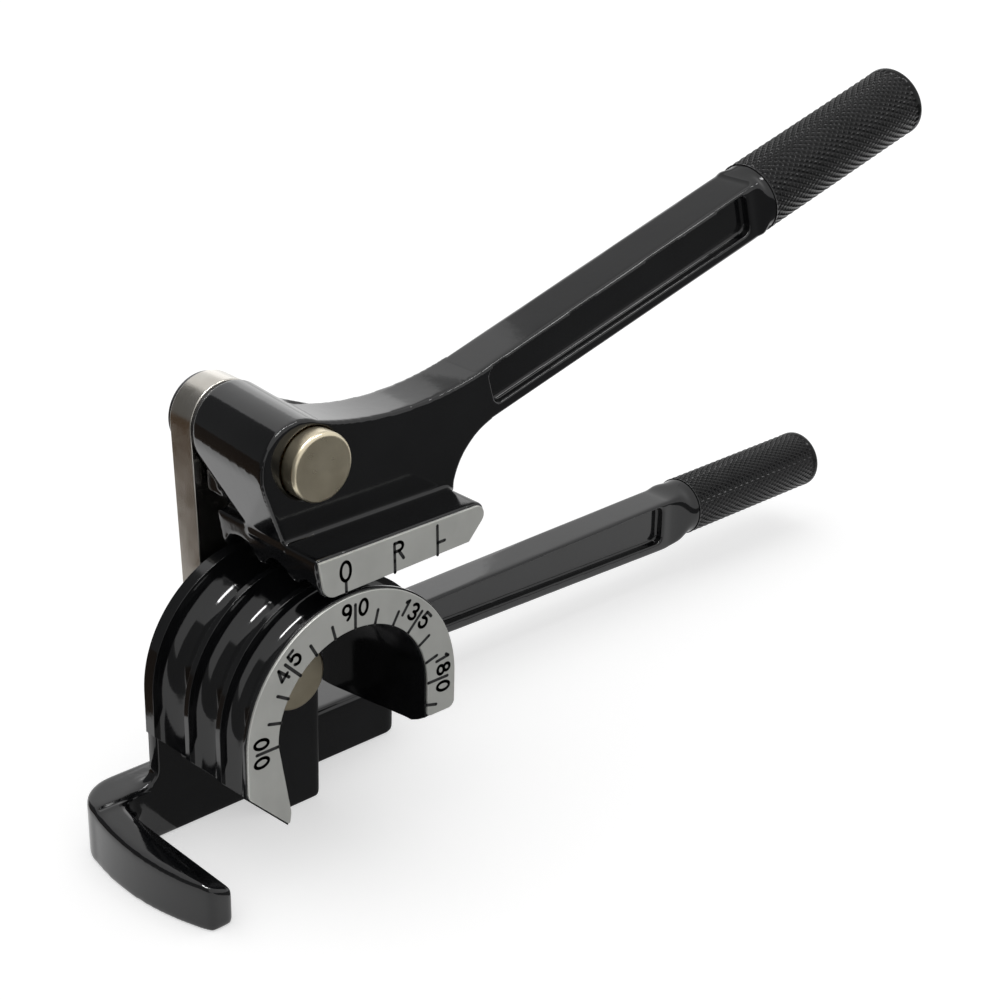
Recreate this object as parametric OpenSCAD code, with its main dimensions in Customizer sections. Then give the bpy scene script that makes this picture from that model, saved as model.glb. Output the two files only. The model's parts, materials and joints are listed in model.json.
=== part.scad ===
// Lever tube bender with a three-groove forming die, a hook, a link and a grooved shoe on a lever.
// Frame: X along the lower handle, Y from the graduated front to the link at the rear, Z up.
// The origin lies on the floor, under the die axis, in the plane where the link seats.

/* [Tubes] */
// Outside diameter of the small tube, nearest the graduated face
tube_small = 6.35; // [5.5:0.05:7]
// Outside diameter of the middle tube
tube_mid = 7.94; // [7:0.05:8.6]
// Outside diameter of the large tube, nearest the link
tube_large = 9.53; // [8.6:0.05:10.2]

/* [Forming die] */
// Bend radius at the tube's centre line, which is also the radius of the rims
bend_r = 24; // [22.5:0.5:27]
// Height of the die axis above the floor
axis_h = 30; // [28:0.5:34]
// Wall between the deepest groove and the arch
arch_wall = 2.3; // [1.8:0.1:3]
// Rim in front of the small groove
front_rim = 1.2; // [0.8:0.1:2]
// Rib between two grooves
rib = 1.3; // [0.8:0.1:2]
// Rim behind the large groove
rear_rim = 2.8; // [2.2:0.1:3.4]
// Straight drop of the die's left side below its axis, down to the slanted cut
left_drop = 8.3; // [7:0.1:9.5]
// Level of the left tip below the axis
tip_drop = 17.2; // [16:0.1:18]
// Widening of the left side from the axis to its tip
tip_flare = 2.5; // [1:0.1:3.5]
// Height of the left tip's short upright side
tip_rise = 2.5; // [1:0.1:4]
// Level of the arch's right foot below the axis
right_drop = 7.4; // [6:0.1:9]
// Rounding of the right foot's outer corner
foot_round = 1.5; // [0.5:0.1:2.5]
// Level of the right foot close behind its graduated face, below the axis
foot_chin = 9.3; // [8:0.1:10]
// Level of the right foot at its rear, below the axis
foot_fall = 12.3; // [10.5:0.1:13]
// Depth over which the right foot drops to its chin
chin_depth = 3; // [2:0.1:5]
// Seat behind the rear rim, up to the link's washer
wall_behind = 2; // [1.5:0.1:3]
// Depth of the open pocket in front of the web
pocket = 20.3; // [18:0.1:22]
// Right edge of the web, from the axis
web_right = 8.2; // [7.6:0.1:9.5]
// Fillet between the rear wall and the foot bar
wall_fillet = 3.2; // [1:0.1:5]

/* [Scales] */
// Thickness of the two graduated plates
scale_t = 0.5; // [0.3:0.1:0.8]
// Painted edge left round a graduated plate
scale_edge = 0.3; // [0.1:0.05:0.6]

/* [Foot and hook] */
// Height of the foot bar
bar_h = 11.7; // [10:0.1:12.5]
// Thickness of the foot bar
bar_t = 7.2; // [6:0.1:9]
// Right end of the foot bar, from the die axis
bar_right = 35.3; // [32:0.1:38]
// Rounding of the upright edges at the bar's right end
bar_round = 3; // [0.5:0.1:3.4]
// How far the hook's tip stands out past the graduated face
tip_out = 2.2; // [0:0.1:4]
// Width of the hook's tip
tip_w = 4.8; // [4:0.1:6]
// Rounding of the hook's tip
tip_round = 1.4; // [0.5:0.1:2]
// Radius of the hook's outer rear corner
hook_corner = 8.6; // [6:0.1:9.5]
// Radius of the hook's bowed outer side
hook_bow = 51.7; // [40:0.1:90]
// Drop of the hook's top from the bar to the tip
hook_fall = 2.6; // [1:0.1:4]
// Height of the hook's upright inner face
hook_lip = 7; // [5:0.1:8]

/* [Pivots] */
// Distance from the die axis to the upper pin
pivot_span = 46.1; // [44:0.1:50]
// Angle of the link at rest, from X towards Z
pivot_angle = 92.3; // [88:0.1:96]
// Diameter of both pins
pin_d = 9.5; // [8:0.1:10]
// Diameter of the lower pin's head
lower_head_d = 13.3; // [12.8:0.1:15]
// Height of the lower pin's head
lower_head_h = 3.3; // [2:0.1:4]
// Diameter of the upper pin's head
upper_head_d = 12.9; // [12.7:0.1:15]
// Height of the upper pin's head
upper_head_h = 3.4; // [2:0.1:4]
// Rounding of the pin heads
head_round = 0.8; // [0.3:0.1:1.2]
// Wall of both bushes
bush_wall = 1.4; // [1:0.1:1.5]
// Thickness of the washers
washer_t = 1; // [0.6:0.1:1.4]
// Outside diameter of the washers
washer_d = 15; // [13.5:0.1:15.6]
// Thickness of the retaining rings
clip_t = 1.2; // [0.8:0.1:1.6]
// Outside diameter of the retaining rings
clip_d = 12.6; // [11.5:0.1:14]
// Depth of the pins' ring grooves
clip_groove = 0.6; // [0.4:0.1:0.9]
// Gap between a retaining ring's two ends
clip_gap = 4; // [2:0.1:5]
// Length of pin past its retaining ring
pin_tail = 1; // [0.5:0.1:2]

/* [Link] */
// Thickness of the link
link_t = 6.35; // [5:0.05:7]
// Width of the link
link_w = 15.9; // [15.7:0.1:18]

/* [Lever] */
// Setback of the lever's arm behind the graduated face
arm_setback = 9.5; // [8:0.1:11]
// Thickness of the arm and of the upper handle
arm_t = 10.5; // [9:0.1:12]
// Radius of the lever's boss
boss_r = 8.3; // [8.1:0.1:9.5]
// Shift of the boss's front outline to the left of its pin
boss_shift = 2.4; // [0:0.1:2.6]
// Radius of the dip in the arm's top
dip_r = 70; // [60:1:110]
// Depth of that dip below the boss's top
dip_depth = 3.7; // [3:0.1:5]
// Distance from the upper pin to the dip's lowest point
dip_x = 20.4; // [18:0.1:24]
// Radius of the arm's throat under the handle
throat_r = 13.9; // [12:0.1:15]
// Distance from the upper pin to the start of the upper handle
beam_start = 40.5; // [38:0.5:44]
// How far behind the arm its gusset meets the boss
gusset_depth = 4; // [2:0.1:8]
// Drop of the boss's cheek along the link, below the pin
cheek_drop = 13; // [9:0.1:13.5]
// How far along the arm the gusset reaches from the pin
gusset_reach = 10.5; // [9:0.1:16]

/* [Shoe] */
// Clearance between the shoe and the die's rims
shoe_gap = 0.6; // [0.4:0.05:1.2]
// Tilt of the shoe at rest
shoe_tilt = 2; // [0:0.1:5]
// Length of the shoe's sole to the left of its tangent point
shoe_back = 6; // [5:0.1:7]
// Length of the shoe's sole to the right of its tangent point
shoe_front = 27.8; // [26:0.1:32]
// Overhang of the shoe's top past its sole, at the right
shoe_over = 5.4; // [1:0.1:6]
// Overhang of the shoe's top past its sole, at the left
shoe_lean = 1; // [0.5:0.1:2]
// Height of the shoe at its left end
shoe_h_left = 8; // [7:0.1:8.5]
// Height of the shoe at its right end
shoe_h_right = 7; // [6.5:0.1:8.5]
// Rounding of the sole where the tube runs in, at the shoe's left
shoe_lead = 2.6; // [1:0.1:4]
// Rounding of the shoe's upper right corner
shoe_round = 1.4; // [0.5:0.1:2.5]
// Rim behind the shoe's large groove
shoe_rim = 1; // [0.8:0.1:1.4]

/* [Handles] */
// Rise of the upper handle at rest
upper_rise = 16.45; // [12:0.05:20]
// Distance of the upper handle's axis below the upper pin
upper_drop = 9.15; // [8.8:0.05:10]
// Reach of the upper handle from its pin
upper_reach = 169.6; // [150:0.1:190]
// Height of the upper handle above its axis where it leaves the arm, and its growth to the neck
upper_top = [4.95, 0.9]; // [0:0.05:8]
// Height of the upper handle below its axis where it leaves the arm, and its growth to the neck
upper_low = [5.7, 0.4]; // [0:0.05:8]
// Length of the neck between the upper handle and its grip
upper_neck_l = 4.5; // [3.5:0.1:9]
// Length of the upper grip
upper_grip_l = 49; // [40:0.1:56]
// Radius of the upper grip where it starts
upper_grip_r = 7.6; // [7.2:0.05:8]
// Rise of the lower handle
lower_rise = 0.7; // [0:0.05:2]
// Distance of the lower handle's axis below the die axis
lower_drop = 16.35; // [16:0.05:18]
// Reach of the lower handle from the die axis
lower_reach = 181.7; // [165:0.1:200]
// Thickness of the lower handle
lower_t = 8.7; // [8:0.1:10]
// Clear space between the link and the lower handle
lower_clear = 1; // [0.8:0.1:2]
// Length of the ramp from the root block up to the lower handle
root_ramp = 6; // [4:0.1:9]
// Left end of the lower handle's root block
root_left = 12; // [10:0.1:16]
// Height of the lower handle above its axis at its root, and its growth to the neck
lower_top = [4.15, 0.95]; // [0:0.05:8]
// Height of the lower handle below its axis at its root, and its growth to the neck
lower_low = [4.7, 2.6]; // [0:0.05:8]
// Length of the neck between the lower handle and its grip
lower_neck_l = 9; // [3.5:0.1:11]
// Length of the lower grip
lower_grip_l = 44.5; // [36:0.1:56]
// Radius of the lower grip where it starts
lower_grip_r = 6.85; // [6.6:0.05:7.6]
// Depth of the pockets in the handles' sides
side_pocket = 2; // [1:0.1:2.6]
// Rim above the pockets and at their ends
pocket_rim = 1.5; // [1:0.1:2]
// Rim below the pockets
pocket_foot = 2.4; // [1.5:0.1:3]
// Growth of a grip's radius to its end
grip_flare = 0.1; // [0.05:0.05:0.8]
// Rounding of a grip's end
grip_round = 0.8; // [0.5:0.1:2]
// Radius of the tangs inside the grips
tang_r = 4.2; // [3.5:0.1:4.8]
// Thickness of a grip's end
grip_cap = 2.5; // [1.5:0.1:4]

/* [Clearances] */
// Radial clearance of a tube in its groove
groove_clear = 0.1; // [0.05:0.01:0.2]
// Clearance of the large tube at the hook
hook_clear = 0.15; // [0.05:0.05:0.6]
// Radial clearance of a pin in a bush or a ring
run_fit = 0.05; // [0.02:0.01:0.09]
// Radial clearance of a pressed piece in its bore
press_gap = 0.01; // [0.01:0.01:0.02]
// Gap between the shoe's rear and the foot bar that it passes
sweep_gap = 0.4; // [0.3:0.05:0.8]

/* [Hidden] */
$fn = 96;
hair = 0.01;
paint = "#1b1d20";
bare = "#a9aaa5";
nickel = "#b3aa93";
bronze = "#a8814a";
spring_steel = "#4d4d50";

// Grooves as [depth of the centre behind the graduated face, radius]
r_small = tube_small / 2 + groove_clear;
r_mid = tube_mid / 2 + groove_clear;
r_large = tube_large / 2 + groove_clear;
mid_of_small = front_rim + r_small;
mid_of_mid = mid_of_small + r_small + rib + r_mid;
mid_of_large = mid_of_mid + r_mid + rib + r_large;
grooves = [[mid_of_small, r_small], [mid_of_mid, r_mid], [mid_of_large, r_large]];

// Depths, from the graduated face back to the link's seat at Y = 0
die_depth = mid_of_large + r_large + rear_rim;
seat_y = -washer_t;
front_y = seat_y - wall_behind - die_depth;
plate_y = front_y + scale_t;
die_rear = front_y + die_depth;
foot_front = die_rear - rear_rim;
web_y = front_y + pocket;
shoe_rear = front_y + mid_of_large + r_large + shoe_rim;
bar_front = shoe_rear + sweep_gap;
bar_rear = bar_front + bar_t;
arm_y = front_y + arm_setback;
arm_rear = arm_y + arm_t;
link_rear = link_t;
clip_y = link_rear + washer_t;
pin_end = clip_y + clip_t + pin_tail;

// Die
arch_r = bend_r - r_large - arch_wall;
inner_x = arch_r + arch_wall / 2;
slant = bend_r + left_drop;
bar_top = bar_h - axis_h;

// Hook
hook_in = bend_r + tube_large / 2 + hook_clear;
fall_lead = 0.6;
fall_at = foot_front - fall_lead;
ridge_start = [2.7, 1.8];
ridge_middle = 6;
ridge_share = 0.35;
tip_y = front_y - tip_out;
corner_pt = [-hook_in - hook_corner, bar_rear - hook_corner];
tip_pt = [-hook_in - tip_w, tip_y];
half_chord = (tip_pt - corner_pt) / 2;
to_centre = sqrt(hook_bow * hook_bow - half_chord * half_chord) / norm(half_chord);
bow_centre = corner_pt + half_chord + to_centre * [-half_chord[1], half_chord[0]];
tip_turn = tip_round / hook_bow * 180 / PI;
tip_arm = tip_pt - bow_centre;
along_bow = (bow_centre - tip_pt + [
    tip_arm[0] * cos(tip_turn) + tip_arm[1] * sin(tip_turn),
    tip_arm[1] * cos(tip_turn) - tip_arm[0] * sin(tip_turn)
]) / tip_round;

// Pivots and lever
pin_r = pin_d / 2;
bush_r = pin_r + run_fit + bush_wall;
upper_pin_at = pivot_span * [cos(pivot_angle), sin(pivot_angle)];
boss_top = upper_pin_at[1] + boss_r;
sole = bend_r + shoe_gap;
shoe_left = -shoe_back - shoe_lean;
shoe_right = shoe_front + shoe_over;
stem_to = 0.8;
stem_drop = cheek_drop - boss_shift;
gusset_inset = 0.3;
upper_mid_y = (arm_y + arm_rear) / 2;
beam_lap = 2;
throat_at = [beam_start, -upper_drop - upper_low[0] - throat_r];

// Lower handle
lower_front = link_rear + lower_clear;
root_slant = 0.7;
root_rear = lower_front + lower_t - pocket_rim / 2;
lower_mid_y = lower_front + lower_t / 2;
ramp_top = -lower_drop + lower_top[0] - pocket_rim / 2;
root_end = bar_right - bar_round;

// Points of a rounded corner c, from its side v round to its side u
function corner_round(c, u, v, r) = [for (s = [0:1 / 6:1]) c + r * ((1 - s) * (1 - s) * v + s * s * u)];

// Extrudes a flat outline in X and Z, measured from the die axis, from depth y0 back to y1
module across(y0, y1) {
    translate([0, y1, axis_h]) rotate([90, 0, 0]) linear_extrude(y1 - y0) children();
}

// Turns a profile of [radius, Y] about the line along Y through a point given in X and Z
module turned(at) {
    translate([at[0], 0, axis_h + at[1]]) rotate([-90, 0, 0]) rotate_extrude() children();
}

// Places a straight piece whose own X runs along a handle's axis
module on_handle(at, y, rise, drop) {
    translate([at[0], y, axis_h + at[1]]) rotate([0, -rise, 0]) translate([0, 0, -drop]) children();
}

module on_upper_handle() on_handle(upper_pin_at, upper_mid_y, upper_rise, upper_drop) children();
module on_lower_handle() on_handle([0, 0], lower_mid_y, lower_rise, lower_drop) children();

// Outline of the die's graduated face, drawn in by an even edge
module face_outline(edge) {
    rim_r = bend_r - edge;
    bore_r = arch_r + edge;
    tip_x = tip_flare - arch_r - edge;
    tip_low = tip_drop - edge;
    cut = slant - sqrt(2) * edge;
    intersection() {
        difference() {
            circle(rim_r);
            circle(bore_r);
        }
        translate([-bend_r, 0]) square([2 * bend_r, bend_r]);
    }
    polygon([
        [-rim_r, 0], [-rim_r, rim_r - cut], [tip_low - cut, -tip_low], [tip_x, tip_rise - tip_low], [-bore_r, 0]
    ]);
    difference() {
        translate([bore_r, edge - right_drop]) square([rim_r - bore_r, right_drop - edge]);
        translate([rim_r - foot_round, edge - right_drop]) difference() {
            square(foot_round);
            translate([0, foot_round]) circle(foot_round);
        }
    }
}

// Web inside the left half of the arch, down to a given level under the axis
module web_outline(level) {
    intersection() {
        union() {
            circle(inner_x);
            translate([-inner_x, -axis_h]) square([2 * inner_x, axis_h]);
        }
        translate([-inner_x, -level]) square([inner_x + web_right, level + inner_x]);
        polygon([
            [-slant - bend_r, bend_r], [-slant + axis_h, -axis_h], [bend_r, -axis_h], [bend_r, bend_r]
        ]);
    }
}

// Rear wall under the left side, with a fillet into the hook's corner
module wall_outline() {
    translate([-bend_r, bar_top]) square([bend_r, -bar_top]);
    translate([-bend_r - wall_fillet, bar_top]) difference() {
        square([wall_fillet, wall_fillet]);
        translate([0, wall_fillet]) circle(wall_fillet);
    }
}

// Lower end of the right foot, which falls away from the graduated face to the rear
module foot_end() {
    translate([arch_r, 0, axis_h]) rotate([90, 0, 90]) linear_extrude(bend_r - arch_r) polygon([
        [plate_y, -right_drop], [plate_y + chin_depth, -foot_chin], [die_rear - rear_rim, -foot_fall],
        [die_rear, -foot_fall], [die_rear, foot_round - right_drop], [plate_y + chin_depth, foot_round - right_drop],
        [plate_y + chin_depth, -right_drop]
    ]);
}

// The bent tubes' paths round the arch and straight down both of its sides
module die_grooves() {
    translate([0, front_y, axis_h]) for (g = grooves) translate([0, g[0], 0]) {
        rotate([90, 0, 0]) rotate_extrude(angle = 180) translate([bend_r, 0]) circle(g[1]);
        for (side = [-1, 1]) translate([side * bend_r, 0, -axis_h]) cylinder(r = g[1], h = axis_h);
    }
}

module forming_die() color(paint) difference() {
    union() {
        across(plate_y, die_rear) face_outline(0);
        foot_end();
        across(web_y, foot_front) web_outline(axis_h);
        across(foot_front, die_rear) wall_outline();
        across(foot_front, seat_y) web_outline(-bar_top);
    }
    die_grooves();
    turned([0, 0]) translate([0, web_y - hair]) square([pin_r + press_gap, seat_y - web_y + 2 * hair]);
}

module die_scale() color(bare) across(front_y, plate_y) face_outline(scale_edge);

// What the rounding takes off a corner c of the hook's tip, between its sides u and v
module tip_notch(c, u, v) {
    out = tip_round / 4;
    polygon(concat(
        [c - out * (u + v), c + tip_round * v - out * u],
        corner_round(c, u, v, tip_round),
        [c + tip_round * u - out * v]
    ));
}

// Foot bar, thicker as far as the web, with its rounded rear corner and bowed hook, seen from above
module foot_plan() difference() {
    union() {
        translate([-hook_in, bar_front]) square([hook_in + bar_right - bar_round, bar_t]);
        translate([-hook_in, foot_front]) square([hook_in + web_right, bar_t]);
        translate([bar_right - bar_round, bar_front + bar_round]) {
            translate([-bar_round, 0]) square([2 * bar_round, bar_t - 2 * bar_round]);
            circle(bar_round);
            translate([0, bar_t - 2 * bar_round]) circle(bar_round);
        }
        intersection() {
            translate([-hook_in, bar_rear - hook_corner]) circle(hook_corner);
            translate([-hook_in - hook_corner, corner_pt[1]]) square([hook_corner, hook_corner]);
        }
        intersection() {
            translate(bow_centre) circle(hook_bow, $fn = 200);
            translate([-hook_in - 2 * hook_corner, tip_y]) square([2 * hook_corner, corner_pt[1] - tip_y]);
        }
    }
    tip_notch(tip_pt, [1, 0], along_bow);
    tip_notch([-hook_in, tip_y], [-1, 0], [0, 1]);
}

// Space above the hook's falling top
module above_hook() {
    translate([-hook_in - 2 * hook_corner, 0, 0]) rotate([90, 0, 90]) linear_extrude(3 * hook_corner) polygon([
        [fall_at, bar_h], [tip_y - 1, bar_h - hook_fall], [tip_y - 1, bar_h + 1], [fall_at, bar_h + 1]
    ]);
}

// Space above the hook's sloping inner side, which flattens towards the tip
module above_slope() {
    ridge = [
        [-hook_in - ridge_start[0], foot_front - ridge_start[1], bar_h],
        [-hook_in - ridge_middle, (foot_front + tip_y) / 2, bar_h - ridge_share * hook_fall],
        [-hook_in - tip_w, tip_y - 1, bar_h - hook_fall]
    ];
    inner = [for (y = [foot_front - hair, tip_y - 1]) [-hook_in, y, hook_lip]];
    hull() {
        for (p = concat(ridge, inner)) {
            translate(p) cube(hair, center = true);
            translate([p[0], p[1], 2 * bar_h]) cube(hair, center = true);
            translate([0, p[1], 2 * bar_h]) cube(hair, center = true);
        }
        for (p = inner) translate([0, p[1], p[2]]) cube(hair, center = true);
    }
}

module foot_hook() color(paint) difference() {
    linear_extrude(bar_h) foot_plan();
    above_hook();
    above_slope();
}

// Handle with pockets in both sides, a neck that turns it round, and a tang for the grip
module handle(start, reach, top, low, neck_l, grip_l, grip_r, t) {
    neck_at = reach - grip_l - neck_l;
    grip_at = reach - grip_l;
    top_end = top[0] + top[1];
    low_end = low[0] + low[1];
    pocket_from = start + 2 * pocket_rim;
    pocket_to = neck_at - pocket_rim;
    difference() {
        rotate([90, 0, 0]) linear_extrude(t, center = true) polygon([
            [start, -low[0]], [pocket_to, -low_end], [neck_at, -low_end],
            [neck_at, top_end], [pocket_to, top_end], [start, top[0]]
        ]);
        for (side = [-1, 1]) translate([0, side * t / 2, 0]) rotate([90, 0, 0])
            linear_extrude(2 * side_pocket, center = true) polygon([
                [pocket_from, pocket_foot - low[0]], [pocket_to, pocket_foot - low_end],
                [pocket_to, top_end - pocket_rim], [pocket_from, top[0] - pocket_rim]
            ]);
    }
    hull() {
        translate([neck_at - pocket_rim / 2, -t / 2, -low_end]) cube([pocket_rim / 2, t, low_end + top_end]);
        translate([grip_at - hair, 0, 0]) rotate([0, 90, 0]) cylinder(r = grip_r - press_gap, h = hair, $fn = 64);
    }
    translate([grip_at - hair, 0, 0]) rotate([0, 90, 0]) cylinder(r = tang_r, h = grip_l - grip_cap);
}

// Grip with a blind bore, a slight flare and a rounded end
module grip(reach, grip_l, grip_r) {
    end_r = grip_r + grip_flare;
    translate([reach - grip_l, 0, 0]) rotate([0, 90, 0]) difference() {
        rotate_extrude() {
            polygon([
                [0, 0], [grip_r, 0], [end_r, grip_l - grip_round],
                [end_r - grip_round, grip_l], [0, grip_l]
            ]);
            intersection() {
                translate([end_r - grip_round, grip_l - grip_round]) circle(grip_round);
                translate([0, grip_l - grip_round]) square([end_r, grip_round]);
            }
        }
        translate([0, 0, -hair]) cylinder(r = tang_r + press_gap, h = grip_l - grip_cap + hair);
    }
}

// Root block that joins the lower handle to the foot bar, seen from above, with a slanted left end
module root_plan() {
    polygon([
        [root_left, bar_rear], [root_end, bar_rear], [bar_right, lower_front + pocket_rim],
        [bar_right, root_rear], [root_left + root_slant * (root_rear - bar_rear), root_rear]
    ]);
}

module lower_handle() color(paint) {
    linear_extrude(bar_h) root_plan();
    across(lower_front + pocket_rim / 2, root_rear) polygon([
        [root_end - root_ramp, bar_top - pocket_rim], [bar_right, bar_top - pocket_rim],
        [bar_right, ramp_top], [root_end, ramp_top], [root_end - root_ramp, bar_top]
    ]);
    on_lower_handle()
        handle(root_end, lower_reach, lower_top, lower_low,
            lower_neck_l, lower_grip_l, lower_grip_r, lower_t);
}

module lower_grip() color(paint) on_lower_handle() grip(lower_reach, lower_grip_l, lower_grip_r);

// Headed pin with a groove for its retaining ring
module headed_pin(at, seat, head_d, head_h) color(nickel) {
    head_r = head_d / 2;
    turned(at) difference() {
        union() {
            translate([0, seat]) square([pin_r, pin_end - seat]);
            translate([0, seat - head_h + head_round]) square([head_r, head_h - head_round]);
            translate([0, seat - head_h]) square([head_r - head_round, head_round + hair]);
            translate([head_r - head_round, seat - head_h + head_round]) circle(head_round, $fn = 32);
        }
        translate([pin_r - clip_groove, clip_y]) square([clip_groove + 1, clip_t]);
        translate([-head_d, seat - 2 * head_h]) square([head_d, pin_end - seat + 3 * head_h]);
    }
}

// Flat ring on a pin
module washer(at, y) color(spring_steel) turned(at) {
    translate([pin_r + run_fit, y]) square([washer_d / 2 - pin_r - run_fit, washer_t]);
}

// Open retaining ring in a pin's groove
module clip(at) color(spring_steel) across(clip_y, clip_y + clip_t) translate(at) difference() {
    circle(clip_d / 2);
    circle(pin_r - clip_groove + run_fit);
    translate([-clip_gap / 2, -clip_d]) square([clip_gap, clip_d]);
}

// Plain bush from y0 to y1
module bush(at, y0, y1) color(bronze) turned(at) {
    translate([pin_r + run_fit, y0]) square([bush_wall, y1 - y0]);
}

module lower_pin() headed_pin([0, 0], web_y, lower_head_d, lower_head_h);
module lower_washer() washer([0, 0], seat_y);
module lower_rear_washer() washer([0, 0], link_rear);
module lower_clip() clip([0, 0]);
module lower_bush() bush([0, 0], 0, link_rear);

module upper_pin() headed_pin(upper_pin_at, arm_y, upper_head_d, upper_head_h);
module upper_washer() washer(upper_pin_at, seat_y);
module upper_rear_washer() washer(upper_pin_at, link_rear);
module upper_clip() clip(upper_pin_at);
module upper_bush() bush(upper_pin_at, arm_y, seat_y);

// Flat bar with full-round ends, bored for the bush below and for the pin above
module link_bar() color(nickel) across(0, link_rear) difference() {
    union() {
        circle(link_w / 2);
        translate(upper_pin_at) circle(link_w / 2);
        rotate(pivot_angle) translate([0, -link_w / 2]) square([pivot_span, link_w]);
    }
    circle(bush_r + press_gap);
    translate(upper_pin_at) circle(pin_r + press_gap);
}

// Outline of the shoe's graduated face, drawn in by an even edge, with its run-in at the left
module shoe_outline(edge) {
    left = shoe_left + edge;
    right = shoe_right - edge;
    low = sole + edge;
    flank = [shoe_h_left, shoe_lean] / norm([shoe_h_left, shoe_lean]);
    lead_at = [left + shoe_lean + shoe_lead * (1 - flank[1]) / flank[0], low + shoe_lead];
    top_left = [left, sole + shoe_h_left - edge];
    top_right = [right, sole + shoe_h_right - edge];
    low_right = [right - shoe_over, low];
    along_top = (top_left - top_right) / norm(top_left - top_right);
    along_end = (low_right - top_right) / norm(low_right - top_right);
    rotate(shoe_tilt) {
        translate(lead_at) circle(shoe_lead);
        polygon(concat(
            [top_left, lead_at - shoe_lead * flank, lead_at, [lead_at[0], low], low_right],
            corner_round(top_right, along_top, along_end, shoe_round)
        ));
    }
}

module bending_shoe() color(paint) difference() {
    across(plate_y, shoe_rear) shoe_outline(0);
    translate([0, front_y, axis_h]) rotate([0, -shoe_tilt, 0]) for (g = grooves)
        translate([-bend_r, g[0], bend_r]) rotate([0, 90, 0]) cylinder(r = g[1], h = 3 * bend_r);
}

module shoe_scale() color(bare) across(front_y, plate_y) shoe_outline(scale_edge);

// The shoe's top edge, as [left, right] points measured from the die axis
function tilted(p) = [
    p[0] * cos(shoe_tilt) - p[1] * sin(shoe_tilt),
    p[0] * sin(shoe_tilt) + p[1] * cos(shoe_tilt)
];
ledge_left = tilted([shoe_left, sole + shoe_h_left]);
ledge_right = tilted([shoe_right, sole + shoe_h_right]);

// A point given along and across the upper handle, measured from the die axis
function along_upper(p) = upper_pin_at + [
    p[0] * cos(upper_rise) - p[1] * sin(upper_rise),
    p[0] * sin(upper_rise) + p[1] * cos(upper_rise)
];

// Side view of the lever's arm: boss, flank down to the shoe, dipped top and throat under the handle
module arm_outline() {
    boss_at = upper_pin_at - [boss_shift, 0];
    beam_top = along_upper([beam_start, upper_top[0] - upper_drop]);
    beam_low = along_upper([beam_start, -upper_low[0] - upper_drop]);
    throat_mid = along_upper(throat_at);
    translate(boss_at) circle(boss_r);
    difference() {
        polygon([
            boss_at - [boss_r, 0], ledge_left, ledge_right, [beam_low[0], ledge_right[1]],
            beam_low, beam_top, [beam_top[0], boss_top], [boss_at[0], boss_top]
        ]);
        translate([upper_pin_at[0] + dip_x, boss_top - dip_depth + dip_r]) circle(dip_r, $fn = 200);
        translate(throat_mid) circle(throat_r);
        translate([throat_mid[0] - throat_r, throat_mid[1] - 4 * throat_r]) square([4 * throat_r, 4 * throat_r]);
    }
}

// Stem behind the arm, from the boss down to the rear of the shoe
module stem_outline() {
    foot = ledge_right - ledge_left;
    polygon([
        upper_pin_at - [boss_r, 0], upper_pin_at - [boss_r, stem_drop], ledge_left,
        ledge_left + stem_to * foot, upper_pin_at + [boss_r, 0]
    ]);
}

// Cheek behind the stem, which covers the link's front below the boss
module cheek_outline() {
    translate(upper_pin_at - [boss_r, cheek_drop]) square([2 * boss_r, cheek_drop]);
}

// Gusset that blends the boss into the arm's top edge behind the arm
module boss_gusset() {
    rear = arm_rear + gusset_depth;
    foot_r = dip_depth;
    foot_at = upper_pin_at + [gusset_reach, boss_r - dip_depth - foot_r];
    lean = boss_shift * (seat_y - rear) / (seat_y - arm_y);
    hull() {
        across(rear, rear + hair) translate(upper_pin_at - [lean, 0]) circle(boss_r - gusset_inset, $fn = 32);
        across(arm_rear - hair, arm_rear) translate(foot_at) circle(foot_r, $fn = 32);
    }
}

module lever_arm() color(paint) difference() {
    union() {
        across(arm_y, arm_rear) arm_outline();
        across(arm_rear, shoe_rear) stem_outline();
        across(shoe_rear, seat_y) cheek_outline();
        hull() {
            across(arm_y, arm_y + hair) translate(upper_pin_at - [boss_shift, 0]) circle(boss_r, $fn = 64);
            across(seat_y - hair, seat_y) translate(upper_pin_at) circle(boss_r, $fn = 64);
        }
        boss_gusset();
        on_upper_handle()
            handle(beam_start - beam_lap, upper_reach, upper_top, upper_low,
                upper_neck_l, upper_grip_l, upper_grip_r, arm_t);
    }
    turned(upper_pin_at) translate([0, arm_y - hair]) square([bush_r + press_gap, seat_y - arm_y + 2 * hair]);
}

module upper_grip() color(paint) on_upper_handle() grip(upper_reach, upper_grip_l, upper_grip_r);

forming_die();
die_scale();
foot_hook();
lower_handle();
lower_grip();
lower_pin();
lower_washer();
lower_rear_washer();
lower_clip();
link_bar();
lower_bush();
upper_pin();
upper_rear_washer();
upper_clip();
lever_arm();
bending_shoe();
shoe_scale();
upper_grip();
upper_bush();
upper_washer();
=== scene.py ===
"""Looks of a hand tube bender.

Gloss black castings, satin graduated faces, a plated link and pins, and knurled grips.
"""
import json
import math

import bmesh
import bpy
from mathutils import Matrix, Vector

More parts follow.
